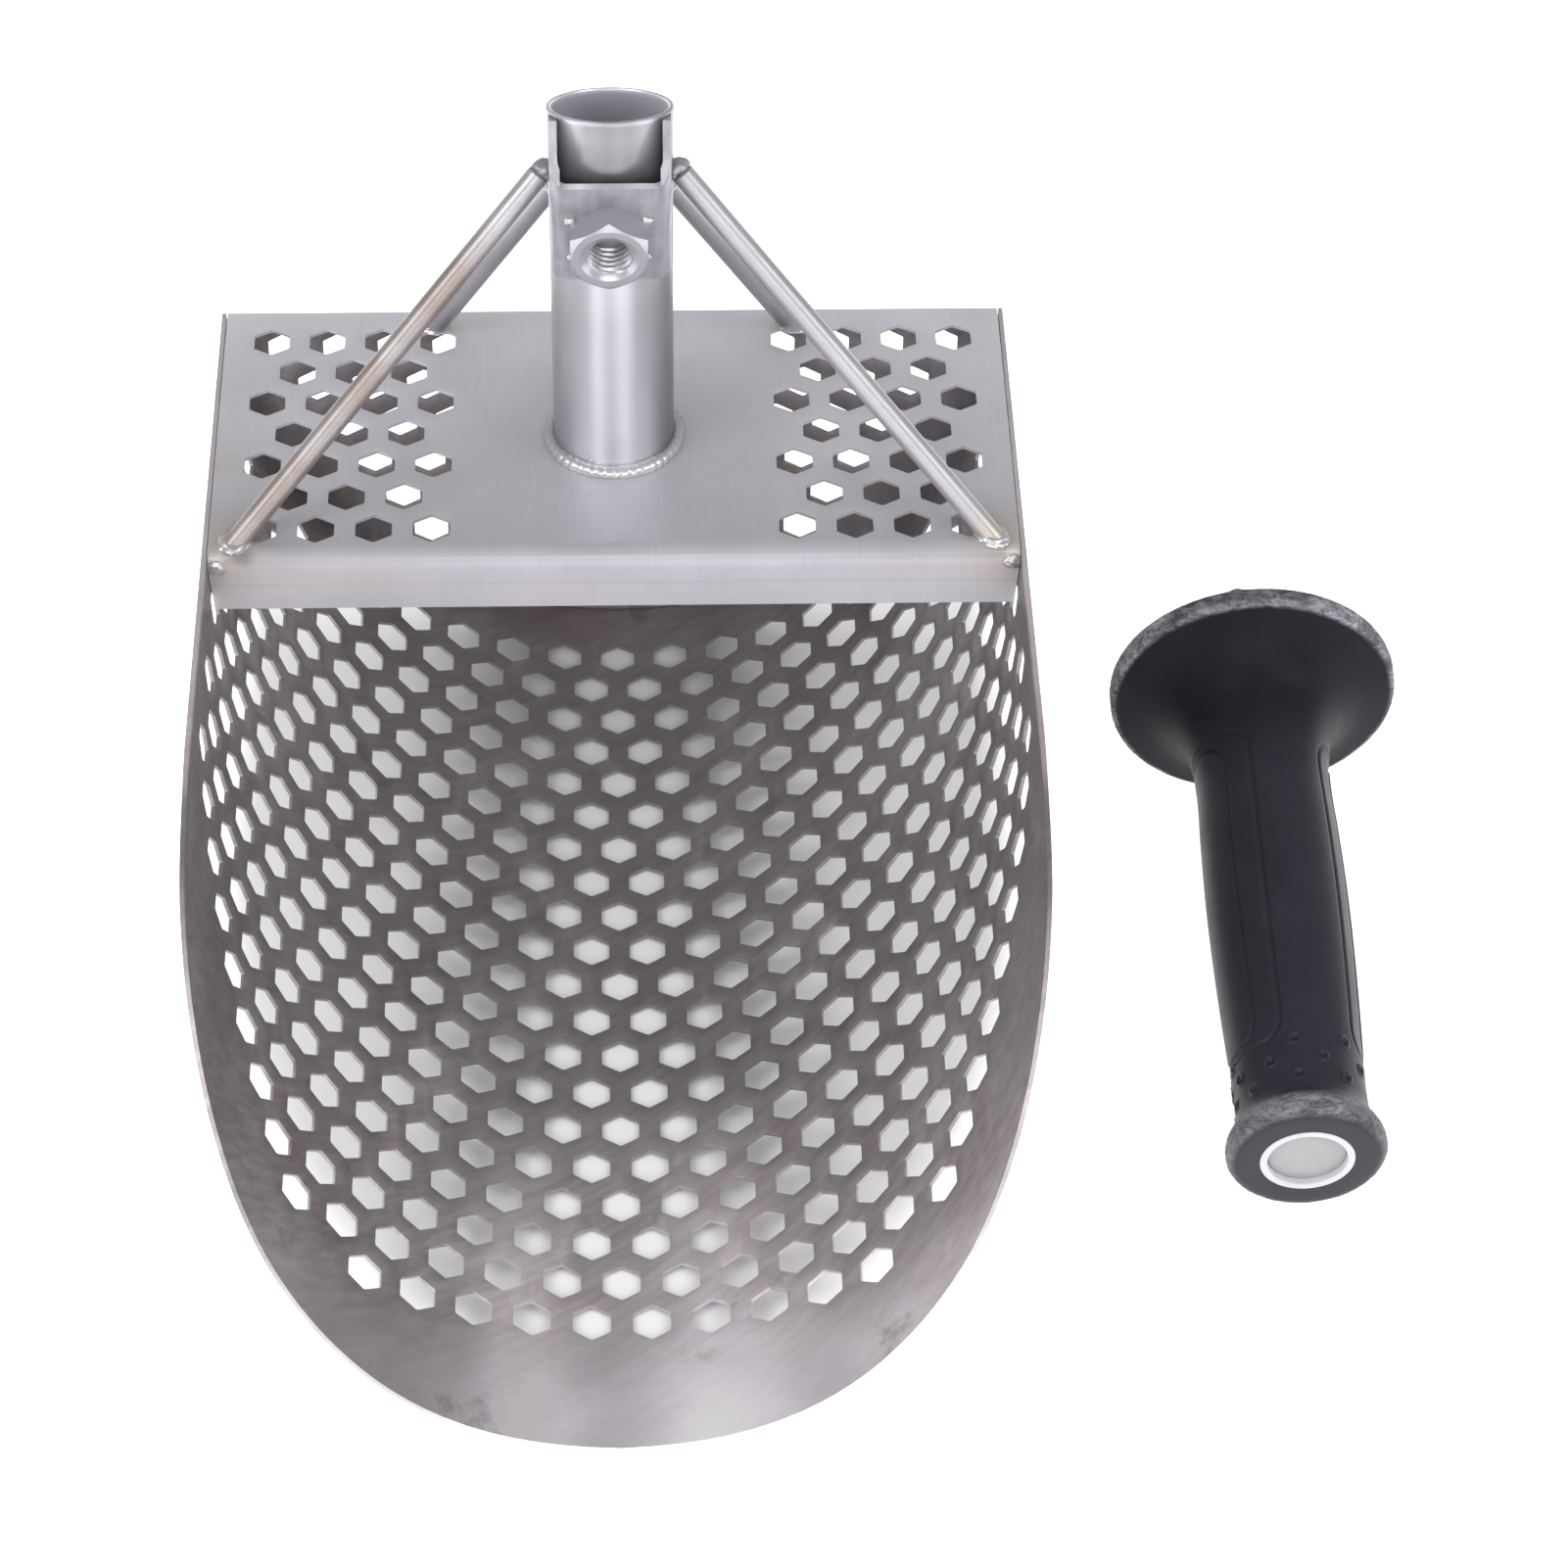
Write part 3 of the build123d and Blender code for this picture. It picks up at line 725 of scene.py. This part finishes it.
# Close spacing keeps the fold round
verts, faces = perforated_sheet(hood_outline(), hood_holes(), hood_bend, spacing=2.6)
make_object("hood", verts, faces, "scoop", STEEL_HOOD, ("hood_plate",), angle=40)


def back_bend(u, v, t):
    u, v, t = (np.asarray(a, float) for a in (u, v, t))
    return np.stack([u, BACK - t, v], 1)


def back_outline():
    start = math.asin((-SHEET - AXIS_Z) / HOOD_HALF)
    sweep = np.linspace(math.pi - start, 2 * math.pi + start, 120)
    points = [(HOOD_HALF * math.cos(a), AXIS_Z + HOOD_HALF * math.sin(a)) for a in sweep]
    points += [(x, -SHEET) for x in np.linspace(points[-1][0] - 8, points[0][0] + 8, 24)]
    return points


def back_holes():
    holes = []
    for row in range(7):
        z = -11.85 - row * ROW
        for step in range(-12, 13):
            x = step * PITCH / 2
            if step % 2 == row % 2 and math.hypot(x, z - AXIS_Z) < BASKET_R - 12.6:
                holes.append((x, z))
    return holes


verts, faces = perforated_sheet(back_outline(), back_holes(), back_bend)
make_object("back_sheet", verts, faces, "scoop", STEEL_BASKET, ("back_wall",), angle=40)


# ---- socket

def rim_z(y):
    """Height of the socket's slanted rim, 12 mm higher at the front than at the back."""
    return 107.0 - 12.0 / 31.8 * y


def socket():
    """Tube with a slightly flared, rounded rim."""
    count = 128
    angles = circle_angles(count)
    cx, cy = np.cos(angles), np.sin(angles)
    rings = []

    def ring(radius, below, fixed=None):
        y = radius * cy
        z = rim_z(y) - below if fixed is None else np.full(count, fixed)
        rings.append(np.stack([radius * cx, y, z], 1))

    for z in (0.0, 20.0, 40.0, 60.0, 75.0, 90.0):
        ring(TUBE_R, 0, z)
    for below, flare in ((6.0, 0.0), (3.0, 0.10), (1.6, 0.22), (0.5, 0.28)):
        ring(TUBE_R + flare, below)
    mid = (TUBE_R + TUBE_IN) / 2 + 0.2
    half = (TUBE_R - TUBE_IN) / 2
    for a in np.radians([30, 60, 90, 120, 150]):
        ring(mid + half * math.cos(a), 0.45 - 0.45 * math.sin(a))
    for below, flare in ((0.6, 0.1), (2.0, 0.0), (6.0, 0.0)):
        ring(TUBE_IN + flare, below)
    for z in (90.0, 75.0, 60.0, 40.0, 20.0, 0.0):
        ring(TUBE_IN, 0, z)
    return np.concatenate(rings), ring_faces(len(rings), count, closed_rings=True)


verts, faces = socket()
make_object("socket", verts, faces, "scoop", STEEL_TUBE, ("socket_tube",), angle=50)


def thread_radius(phase, minor, major):
    """Sixty degree thread: trapezoid wave between the minor and the major radius."""
    p = phase % 1.0
    rise = 0.36
    flat_low = 0.18
    crest = np.where(p < 1 - rise, 1.0, (1 - p) / rise)
    climb = np.where(p < flat_low + rise, (p - flat_low) / rise, crest)
    return minor + (major - minor) * np.where(p < flat_low, 0.0, climb)


def axis_points(origin, direction, side, radius, angles, along):
    """Points round an axis: angle 0 is along side, growing about the direction."""
    across = np.cross(direction, side)
    radius = np.asarray(radius, float)
    return (origin + np.outer(along * np.ones(len(angles)), direction)
            + np.outer(radius * np.cos(angles), side) + np.outer(radius * np.sin(angles), across))


def hex_nut(name, origin, direction, flats, height, minor, major, mouth, body, replaced, chamfer_back=False):
    """Nut with chamfered corners and a real thread, one corner pointing up."""
    count = 144
    angles = circle_angles(count)
    corner_r = flats / 2 / np.cos(angles % (math.pi / 3) - math.pi / 6)
    face_r = 0.478 * flats
    drop = np.maximum(corner_r - face_r, 0) * math.tan(math.radians(30))

    def ring(radius, along):
        return axis_points(origin, direction, UP, np.broadcast_to(radius, count), angles, along)

    rings = [ring(mouth, 0.0), ring(face_r, 0.0)]
    for f in (0.35, 0.7, 1.0):
        rings.append(ring(face_r + (corner_r - face_r) * f, 0.0) + np.outer(drop * f, direction))
    rings.append(ring(corner_r, height * 0.5))
    rings.append(ring(corner_r, height) - np.outer(drop * chamfer_back, direction))
    rings.append(ring(face_r if chamfer_back else face_r * 0.98, height))
    rings.append(ring(major + 0.1, height))
    depth = (mouth - major) * 0.6
    steps = int(height / THREAD_PITCH * 10)
    for k in range(steps, -1, -1):
        along = depth + (height - 0.3 - depth) * k / steps
        radius = thread_radius(along / THREAD_PITCH - angles / (2 * math.pi), minor, major)
        rings.append(ring(major + (radius - major) * smoothstep(depth, depth + 0.7, along), along))
    faces = ring_faces(len(rings), count, closed_rings=True)
    return make_object(name, np.concatenate(rings), faces, body, STEEL_NUT, replaced, angle=28)


hex_nut("nut", NUT_SEAT - STUD * NUT_STANDS_OUT, STUD, NUT_FLATS, 9.9, 5.15, 6.0, 7.5,
        "scoop", ("socket_nut",))


# ---- welds

def lump(centre, radii, axes, seed, roughness=0.18, level=4):
    """Irregular blob of weld metal: an ellipsoid with seeded ripples."""
    bm = bmesh.new()
    bmesh.ops.create_icosphere(bm, subdivisions=level, radius=1.0)
    points = np.array([tuple(v.co) for v in bm.verts])
    polys = [[v.index for v in f.verts] for f in bm.faces]
    bm.free()
    out = []
    for p in points:
        n1 = noise.noise(Vector(p) * 1.6 + Vector((seed, 0, 0)))
        n2 = noise.noise(Vector(p) * 4.0 + Vector((0, seed, 0)))
        q = p * (1 + roughness * n1 + 0.35 * roughness * n2)
        out.append(centre + axes[0] * q[0] * radii[0] + axes[1] * q[1] * radii[1] + axes[2] * q[2] * radii[2])
    return np.array(out), polys


def join_lumps(name, lumps, replaced, material=WELD):
    """One piece made of several blobs."""
    verts, faces, total = [], [], 0
    for points, polys in lumps:
        verts.append(points)
        faces += [[i + total for i in f] for f in polys]
        total += len(points)
    return make_object(name, np.concatenate(verts), faces, "scoop", material, replaced,
                       angle=60, recalc=False)


def base_weld():
    """Ring of overlapping weld puddles round the foot of the socket."""
    count, section = 720, 20
    puddles = 46
    rings = []
    for i in range(count):
        a = 2 * math.pi * i / count
        wander = 0.35 * noise.noise(Vector((math.cos(a) * 2, math.sin(a) * 2, 3.0)))
        out = np.array([math.cos(a), math.sin(a), 0.0])
        points = []
        for k in range(section):
            b = 2 * math.pi * k / section
            bulge = math.cos(b - math.radians(45))
            phase = a * puddles / (2 * math.pi) - 0.35 * max(0.0, bulge)
            ripple = 0.16 * abs(math.sin(math.pi * phase))
            size = 1.75 + wander + ripple
            height = 0.75 + size * 0.95 * math.sin(b)
            points.append(out * (TUBE_R + 1.0 + size * 1.05 * math.cos(b)) + np.array([0, 0, height]))
        rings.append(points)
    points = np.array(rings).reshape(-1, 3)
    points[:, 2] = np.maximum(points[:, 2], -0.3)
    return points, ring_faces(count, section, closed_rings=True)


verts, faces = base_weld()
make_object("socket_weld", verts, faces, "scoop", WELD, ("socket_base_weld",), angle=60)

UPRIGHT = np.array([0, 0, 1.0])
FRAME_AXES = (EX, np.array([0, 1.0, 0]), UPRIGHT)


def unit(v):
    v = np.asarray(v, float)
    return v / np.linalg.norm(v)


# Middle of each right-hand rod at the hood and at the socket
STRUTS = (("front", (98.2, -42.6, 0.0), (14.5, 0.0, 91.0)), ("rear", (48.7, 47.0, 0.0), (11.5, 8.5, 81.0)))


def strut_rod(name, replaced, start, end):
    """Square-cut rod from the hood up to the socket's wall; returns the middle of its upper end."""
    count = 48
    angles = circle_angles(count)
    run = unit(end - start)
    level = unit(np.cross(run, UPRIGHT))
    reach = np.hypot(*start[:2]) - np.hypot(*end[:2])
    short = TUBE_R + STRUT_R * run[2] + 0.5 - np.hypot(*end[:2])
    length = np.linalg.norm(end - start) * (1 - short / reach)
    foot_ring = axis_points(start, run, level, np.full(count, STRUT_R), angles, 0.0)
    foot_ring -= np.outer((foot_ring[:, 2] + 0.3) / run[2], run)
    rings = [foot_ring]
    for distance, radius in ((length * 0.5, STRUT_R), (length - 0.4, STRUT_R), (length, STRUT_R - 0.4)):
        rings.append(axis_points(start, run, level, np.full(count, radius), angles, distance))
    faces = ring_faces(len(rings), count)
    last = (len(rings) - 1) * count
    faces += [tuple(range(count)), tuple(range(last, last + count))]
    make_object(name, np.concatenate(rings), faces, "scoop", STEEL_ROD, (replaced,), angle=40)
    return start + run * length


foot_lumps, top_lumps = [], []
for index, (place, foot, top) in enumerate(STRUTS):
    for side, hand in ((-1, "left"), (1, "right")):
        start = np.array([side * foot[0], foot[1], foot[2]])
        end = np.array([side * top[0], top[1], top[2]])
        cut = strut_rod(f"rod_{place}_{hand}", f"strut_{place}_{hand}", start, end)
        seed = 3.1 * index + 1.7 * side + 11
        flat = unit([end[0] - start[0], end[1] - start[1], 0])
        foot_axes = (flat, np.cross(UPRIGHT, flat), UPRIGHT)
        foot_lumps.append(lump(start - flat * 0.4 + UPRIGHT * 0.1, (4.7, 4.3, 1.5), foot_axes, seed, 0.25))
        out = unit([end[0], end[1], 0])
        top_axes = (out, np.cross(UPRIGHT, out), UPRIGHT)
        joint = out * (TUBE_R + 1.1) + UPRIGHT * (cut[2] - 0.1)
        top_lumps.append(lump(joint, (3.4, 3.2, 2.7), top_axes, seed + 5, 0.22))
join_lumps("strut_foot_beads", foot_lumps, ("strut_foot_welds",))
join_lumps("strut_top_beads", top_lumps, ("strut_top_welds",), STEEL_ROD)

tacks = []
for side, height, size, seed in ((-1, 6.3, 1.4, 2), (1, 6.3, 1.4, 3), (-1, -6.0, 1.0, 4), (1, -6.0, 1.0, 5)):
    spot = NUT_SEAT + EX * side * (NUT_FLATS / 2 - 0.1) + UP * height - STUD * 0.3
    tacks.append(lump(spot, (size, size * 0.9, size * 0.8), (EX, UP, STUD), seed * 3.3, 0.3))
join_lumps("nut_tacks", tacks, ("nut_tack_welds",))

corners = []
for side in (-1, 1):
    spot = np.array([side * 103.4, HOOD_FRONT - 0.1, -4.6])
    corners.append(lump(spot, (2.3, 0.8, 2.3), FRAME_AXES, side * 2.0 + 9, 0.2))
join_lumps("flange_corner_spots", corners, ("flange_corner_welds",))


# ---- grip

GRIP_LENGTH = 160.5
BEAD_START = GRIP_LENGTH - 3.0
CORE_HOLE_R = 12.2
RECESS = 8.0

# (distance from the disc's back, radius) over the trumpet, the barrel and the end bead
PROFILE = [
    (DISC_THICK, 37.4), (7.3, 33.6), (9.0, 29.6), (11.2, 26.3), (14.0, 23.4), (17.5, 21.2), (21.5, 19.8),
    (26.0, 18.95), (31.6, 18.4), (37.6, 18.1), (56.0, 18.5), (75.6, 18.8), (95.0, 18.6), (114.6, 18.0),
    (129.0, 17.4), (138.0, 16.95), (143.5, 16.95), (148.0, 17.25), (151.0, 18.1), (153.2, 19.4),
    (155.0, 20.25), (156.6, 20.55), (BEAD_START, 20.55)]


def grip_profile():
    """(distance, radius) samples from the recess floor, over the disc and down the grip to the far end."""
    s = [RECESS, RECESS, RECESS, 0.6, 0.2, 0.0, 0.0, 0.0, 0.12, 0.5, 1.1]
    r = [CORE_HOLE_R, 12.8, 13.5, 13.5, 13.62, 14.0, 24.0, 37.5, 38.2, 38.65, DISC_R]
    for k in range(1, 7):
        s.append(1.1 + 3.6 * k / 6)
        r.append(DISC_R)
    s += [5.3, 5.75, DISC_THICK]
    r += [38.6, 38.15, 37.4]
    control = np.array(PROFILE)
    stretches = ((6.3, 38, 52), (38.6, 126, 150), (126.4, BEAD_START, 100))
    keys = np.concatenate([np.linspace(*stretch) for stretch in stretches])
    tangent = np.gradient(control[:, 1], control[:, 0])
    tangent[0] = -3.2
    for key in keys:
        i = min(np.searchsorted(control[:, 0], key, side="right") - 1, len(control) - 2)
        step = control[i + 1, 0] - control[i, 0]
        t = (key - control[i, 0]) / step
        s.append(key)
        r.append(hermite(t, control[i, 1], control[i + 1, 1], step * tangent[i], step * tangent[i + 1]))
    for a in np.radians([18, 36, 54, 72, 90]):
        s.append(BEAD_START + 3.0 * math.sin(a))
        r.append(17.55 + 3.0 * math.cos(a))
    s += [GRIP_LENGTH, GRIP_LENGTH, GRIP_LENGTH]
    r += [15.0, 13.2, CORE_HOLE_R]
    return np.array(s), np.array(r)


def groove(distance, width):
    """Depth factor of a rounded groove at a distance from its line."""
    return np.exp(-(distance / width) ** 2)


def panel_distance(s, angle, centre, half_angle, start, end, radius):
    """Signed distance in mm to the edge of a rounded panel on the grip, negative inside."""
    corner = 7.0
    u = wrapped(angle - centre) * math.pi / 180 * radius
    half = math.radians(half_angle) * radius
    mid, long_half = (start + end) / 2, (end - start) / 2
    dx = np.abs(u) - (half - corner)
    dy = np.abs(s - mid) - (long_half - corner)
    outside = np.hypot(np.maximum(dx, 0), np.maximum(dy, 0))
    return outside + np.minimum(np.maximum(dx, dy), 0) - corner


def wrapped(degrees):
    return (degrees + 180) % 360 - 180


# (distance, angle) of the dimples in view; the hidden ones follow in regular columns
DIMPLES = [(134.2, -8.7), (139.5, 14.2), (133.4, 38.0), (139.9, -31.6), (145.3, -8.5), (138.6, 61.0),
           (144.6, 36.5), (146.0, -50.0)]
for turn in (96, 122, 148, 174, 200, 226, 252, 278):
    DIMPLES += [(134.0, turn), (139.5, turn + 13.0), (145.2, turn)]


def panel_relief(along, angle, radius):
    """Height of the two grooved side panels of the grip."""
    relief = np.zeros_like(along)
    for centre in (-74.0, 106.0):
        outer = panel_distance(along, angle, centre, 56.0, 30.0, 133.6, 18.2)
        inner = panel_distance(along, angle, centre, 31.0, 32.0, 131.6, 18.2)
        relief -= 0.62 * groove(outer, 0.5)
        relief -= 0.42 * groove(inner, 0.5)
        relief += 0.16 * groove(outer + 1.5, 0.6)
        relief -= 0.30 * smoothstep(0.2, -1.2, outer)
        relief += 0.26 * smoothstep(0.2, -1.0, inner)
    return relief * smoothstep(26, 33, along) * (1 - smoothstep(142, 146, along)) * (radius > 15)


def dimple_relief(along, angle, radius):
    """Height of the small rings pressed in near the end of the grip."""
    relief = np.zeros_like(along)
    for distance, turn in DIMPLES:
        away = np.hypot(wrapped(angle - turn) * math.pi / 180 * 17.2, along - distance)
        relief += 0.42 * groove(away - 1.45, 0.42) - 0.45 * groove(away, 0.9)
    return relief * (radius > 15)


def worn_relief(s, r, angles):
    """Roughness of the disc's edge and of the end bead."""
    relief = np.zeros((len(s), len(angles)))
    for i in range(len(s)):
        edge = math.exp(-((s[i] - 3.0) / 3.2) ** 2) * (r[i] > 36.5)
        bead = float(smoothstep(152.0, 155.0, s[i])) * (r[i] > 17.0)
        if edge + bead < 0.02:
            continue
        for j, angle in enumerate(np.radians(angles)):
            p = Vector((math.cos(angle) * r[i], math.sin(angle) * r[i], s[i])) * 0.55
            value = noise.noise(p) + 0.6 * noise.noise(p * 2.7)
            relief[i, j] = (0.16 * edge + 0.14 * bead) * value
    return relief


def grip():
    """Grip with its disc; angle 0 faces up and 90 faces right."""
    count = 288
    s, r = grip_profile()
    angles = np.degrees(circle_angles(count))
    along, angle = np.meshgrid(s, angles, indexing="ij")
    radius = np.repeat(r[:, None], count, 1)
    mould_mark = 0.9 * groove(wrapped(angle + 11) * 0.68, 1.6) * (np.abs(along - 1.6) < 1.9) * (radius > 38.5)
    relief = panel_relief(along, angle, radius) + dimple_relief(along, angle, radius)
    radius = radius + relief + worn_relief(s, r, angles) + mould_mark
    radial = UP * np.cos(np.radians(angle))[..., None] + EX * np.sin(np.radians(angle))[..., None]
    points = DISC_BACK + along[..., None] * GRIP_DIR + radius[..., None] * radial
    bore_r = CORE_HOLE_R + 0.02
    bore = [DISC_BACK + distance * GRIP_DIR + bore_r * radial[0] for distance in (150.0, 120.0, 60.0, 20.0)]
    faces = ring_faces(len(s) + len(bore), count, closed_rings=True)
    return np.concatenate([points.reshape(-1, 3), *bore]), faces


verts, faces = grip()
make_object("grip", verts, faces, "grip", RUBBER, ("grip_sleeve",), angle=42)


def lathe(name, samples, body, material, replaced, closed=True):
    """Solid of revolution about the grip's axis, from (distance, radius) samples."""
    count = 96
    angles = circle_angles(count)
    rings = [axis_points(DISC_BACK, GRIP_DIR, UP, np.full(count, radius), angles, distance)
             for distance, radius in samples]
    faces = ring_faces(len(rings), count, closed_rings=closed)
    verts = np.concatenate(rings)
    if not closed:
        verts, faces = close_ends(verts, faces, count, samples[0][0], samples[-1][0])
    return make_object(name, verts, faces, body, material, (replaced,))


def close_ends(verts, faces, count, start, end):
    """Fans of triangles over the first and last rings of a piece on the grip's axis."""
    n = len(verts)
    last = n - count
    for i in range(count):
        j = (i + 1) % count
        faces += [(n, i, j), (n + 1, last + j, last + i)]
    return np.concatenate([verts, [DISC_BACK + GRIP_DIR * start, DISC_BACK + GRIP_DIR * end]]), faces


lathe("core_ring", [(RECESS, CORE_R), (60, CORE_R), (120, CORE_R), (160.1, CORE_R), (160.6, 12.05),
                    (160.75, 11.8), (160.8, 11.3), (160.75, 10.6), (160.55, 10.25), (160.2, BORE_R),
                    (140, BORE_R), (60, BORE_R), (RECESS, BORE_R)],
      "grip", WHITE_PLASTIC, "core_tube")
lathe("plug", [(147.0, 10.05), (153.0, 10.05), (158.6, 10.05), (158.9, 9.9), (159.0, 9.7), (159.0, 6.0),
               (159.0, 2.0)],
      "grip", GREY_PLASTIC, "end_plug", closed=False)
lathe("insert", [(RECESS, 10.05), (20.0, 10.05), (33.6, 10.05), (34.0, 9.7), (34.0, 5.6), (33.6, 5.05),
                 (20.0, 5.05), (8.4, 5.05), (RECESS, 5.4), (RECESS, 9.6)],
      "grip", STEEL_NUT, "stud_insert")
lathe("washer", [(6.5, 5.2), (6.5, 11.7), (6.75, 12.0), (7.75, 12.0), (8.0, 11.7), (8.0, 5.2), (7.25, 5.08)],
      "advanced", STEEL_NUT, "stud_washer")


def stud():
    """Threaded stud with a bevelled tip."""
    count = 96
    angles = circle_angles(count)
    rings = []
    steps = int((STUD_BURIED + STUD_REACH) / THREAD_PITCH * 12)
    for k in range(steps + 1):
        along = -STUD_REACH + (STUD_BURIED + STUD_REACH) * k / steps
        radius = thread_radius(along / THREAD_PITCH + angles / (2 * math.pi), 4.55, 5.0)
        bevel = 4.0 + (along + STUD_REACH) * 0.9
        rings.append(axis_points(DISC_BACK, GRIP_DIR, UP, np.minimum(radius, bevel), angles, along))
    return close_ends(np.concatenate(rings), ring_faces(len(rings), count), count, -STUD_REACH, STUD_BURIED)


verts, faces = stud()
make_object("stud", verts, faces, "grip", STEEL_NUT, ("handle_stud",), angle=28)
hex_nut("thin_nut", DISC_BACK - GRIP_DIR * (STUD_REACH - 0.1), GRIP_DIR, THIN_NUT_FLATS, 6.0, 5.09, 5.6, 6.3,
        "carried", ("jam_nut",), chamfer_back=True)


# ---- the CAD's own bracket

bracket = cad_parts["nut_bracket"]
bracket.data.materials.clear()
bracket.data.materials.append(STEEL_BRACKET)


# ---- stage, light and camera

def stage_floor():
    """White floor that glows where it is open to view, with a painted soft grey shadow under the scoop that
    shows through its holes, darker down the middle.
    """
    bm = bmesh.new()
    bmesh.ops.create_grid(bm, x_segments=1, y_segments=1, size=6.0)
    mesh = bpy.data.meshes.new("floor")
    bm.to_mesh(mesh)
    bm.free()
    floor = bpy.data.objects.new("floor", mesh)
    floor.location = (0, 0, FLOOR_Z * MM - 0.0002)
    bpy.context.scene.collection.objects.link(floor)
    material, tree, bsdf = new_material("floor_white")
    g = Graph(tree)
    x, y, _ = g.separate(g.position())
    # Painted shadow: a soft patch round and under the scoop gets no glow and a grey base
    across = g.math("DIVIDE", x, 0.1195)
    ahead = g.math("DIVIDE", g.math("MINIMUM", g.math("ADD", y, 0.050), 0.0), 0.2055)
    away = g.math("SQRT", g.total(g.times(across, across), g.times(ahead, ahead)))
    behind = g.map_range(y, 0.030, 0.165, 0.0, 1.0, True)
    clear = g.math("MAXIMUM", g.map_range(away, 0.82, 1.0, 0.0, 1.0, True), behind)
    # Painted shadow, darker down the middle under the scoop
    under = g.mix(g.bump_at(x, 0.0, 0.032), (0.70, 0.70, 0.71), (0.62, 0.62, 0.635))
    g.link(g.mix(clear, under, (0.90, 0.90, 0.90)), bsdf.inputs["Base Color"])
    bsdf.inputs["Emission Color"].default_value = (1, 1, 1, 1)
    g.link(g.map_range(clear, 0.0, 1.0, 0.0, 0.75), bsdf.inputs["Emission Strength"])
    bsdf.inputs["Roughness"].default_value = 0.8
    mesh.materials.append(material)


stage_floor()


def area_light(name, place, size, power):
    """Soft rectangular light aimed at the middle of the scoop."""
    data = bpy.data.lights.new(name, "AREA")
    data.shape = "RECTANGLE"
    data.size, data.size_y = size
    data.energy = power
    obj = bpy.data.objects.new(name, data)
    obj.location = place
    obj.rotation_mode = "QUATERNION"
    obj.rotation_quaternion = (Vector((0, -0.05, 0)) - Vector(place)).to_track_quat("-Z", "Y")
    bpy.context.scene.collection.objects.link(obj)


area_light("key_left", (-1.5, -1.0, 1.5), (1.0, 1.2), 20)
area_light("fill_right", (1.5, -0.9, 1.3), (0.9, 1.2), 13)
area_light("front_low", (0.0, -2.2, 0.9), (1.6, 0.8), 16)


def studio_world():
    """White surroundings for the light on the object, and a dimmer graded room in its reflections."""
    world = bpy.data.worlds.new("studio")
    world.use_nodes = True
    tree = world.node_tree
    tree.nodes.clear()
    g = Graph(tree)
    direction = tree.nodes.new("ShaderNodeTexCoord").outputs["Generated"]
    x, y, z = g.separate(direction)
    back_up = g.map_range(y, 0.2, 0.9, 0.36, 0.42, True)
    side = g.map_range(g.math("ABSOLUTE", x), 0.45, 0.95, 0.0, 0.10, True)
    reflected = g.times(g.total(back_up, side), g.map_range(z, -0.3, 0.5, 0.8, 1.0, True))
    glossy = tree.nodes.new("ShaderNodeLightPath").outputs["Is Glossy Ray"]
    strength = g.total(g.times(glossy, reflected), g.times(g.math("SUBTRACT", 1.0, glossy), 1.05))
    background = tree.nodes.new("ShaderNodeBackground")
    background.inputs[0].default_value = (1, 1, 1, 1)
    g.link(strength, background.inputs[1])
    output = tree.nodes.new("ShaderNodeOutputWorld")
    tree.links.new(background.outputs[0], output.inputs[0])
    bpy.context.scene.world = world


studio_world()


def matched_camera():
    """The photograph's viewpoint: its place in metres and its axes in the shared frame."""
    data = bpy.data.cameras.new("camera")
    data.sensor_fit = "AUTO"
    data.sensor_width = 36.0
    data.lens = 111.3684
    data.clip_end = 20.0
    camera = bpy.data.objects.new("camera", data)
    look = Vector((0.03072, 0.72271, -0.69047))
    up = Vector((0.01028, 0.69053, 0.72323))
    right = Vector((0.99948, -0.02932, 0.01378))
    place = Vector((0.00460, -0.99857, 0.82460))
    camera.matrix_world = Matrix((right, up, -look)).transposed().to_4x4()
    camera.matrix_world.translation = place
    bpy.context.scene.collection.objects.link(camera)
    bpy.context.scene.camera = camera
    bpy.context.scene.view_settings.view_transform = "Standard"


matched_camera()
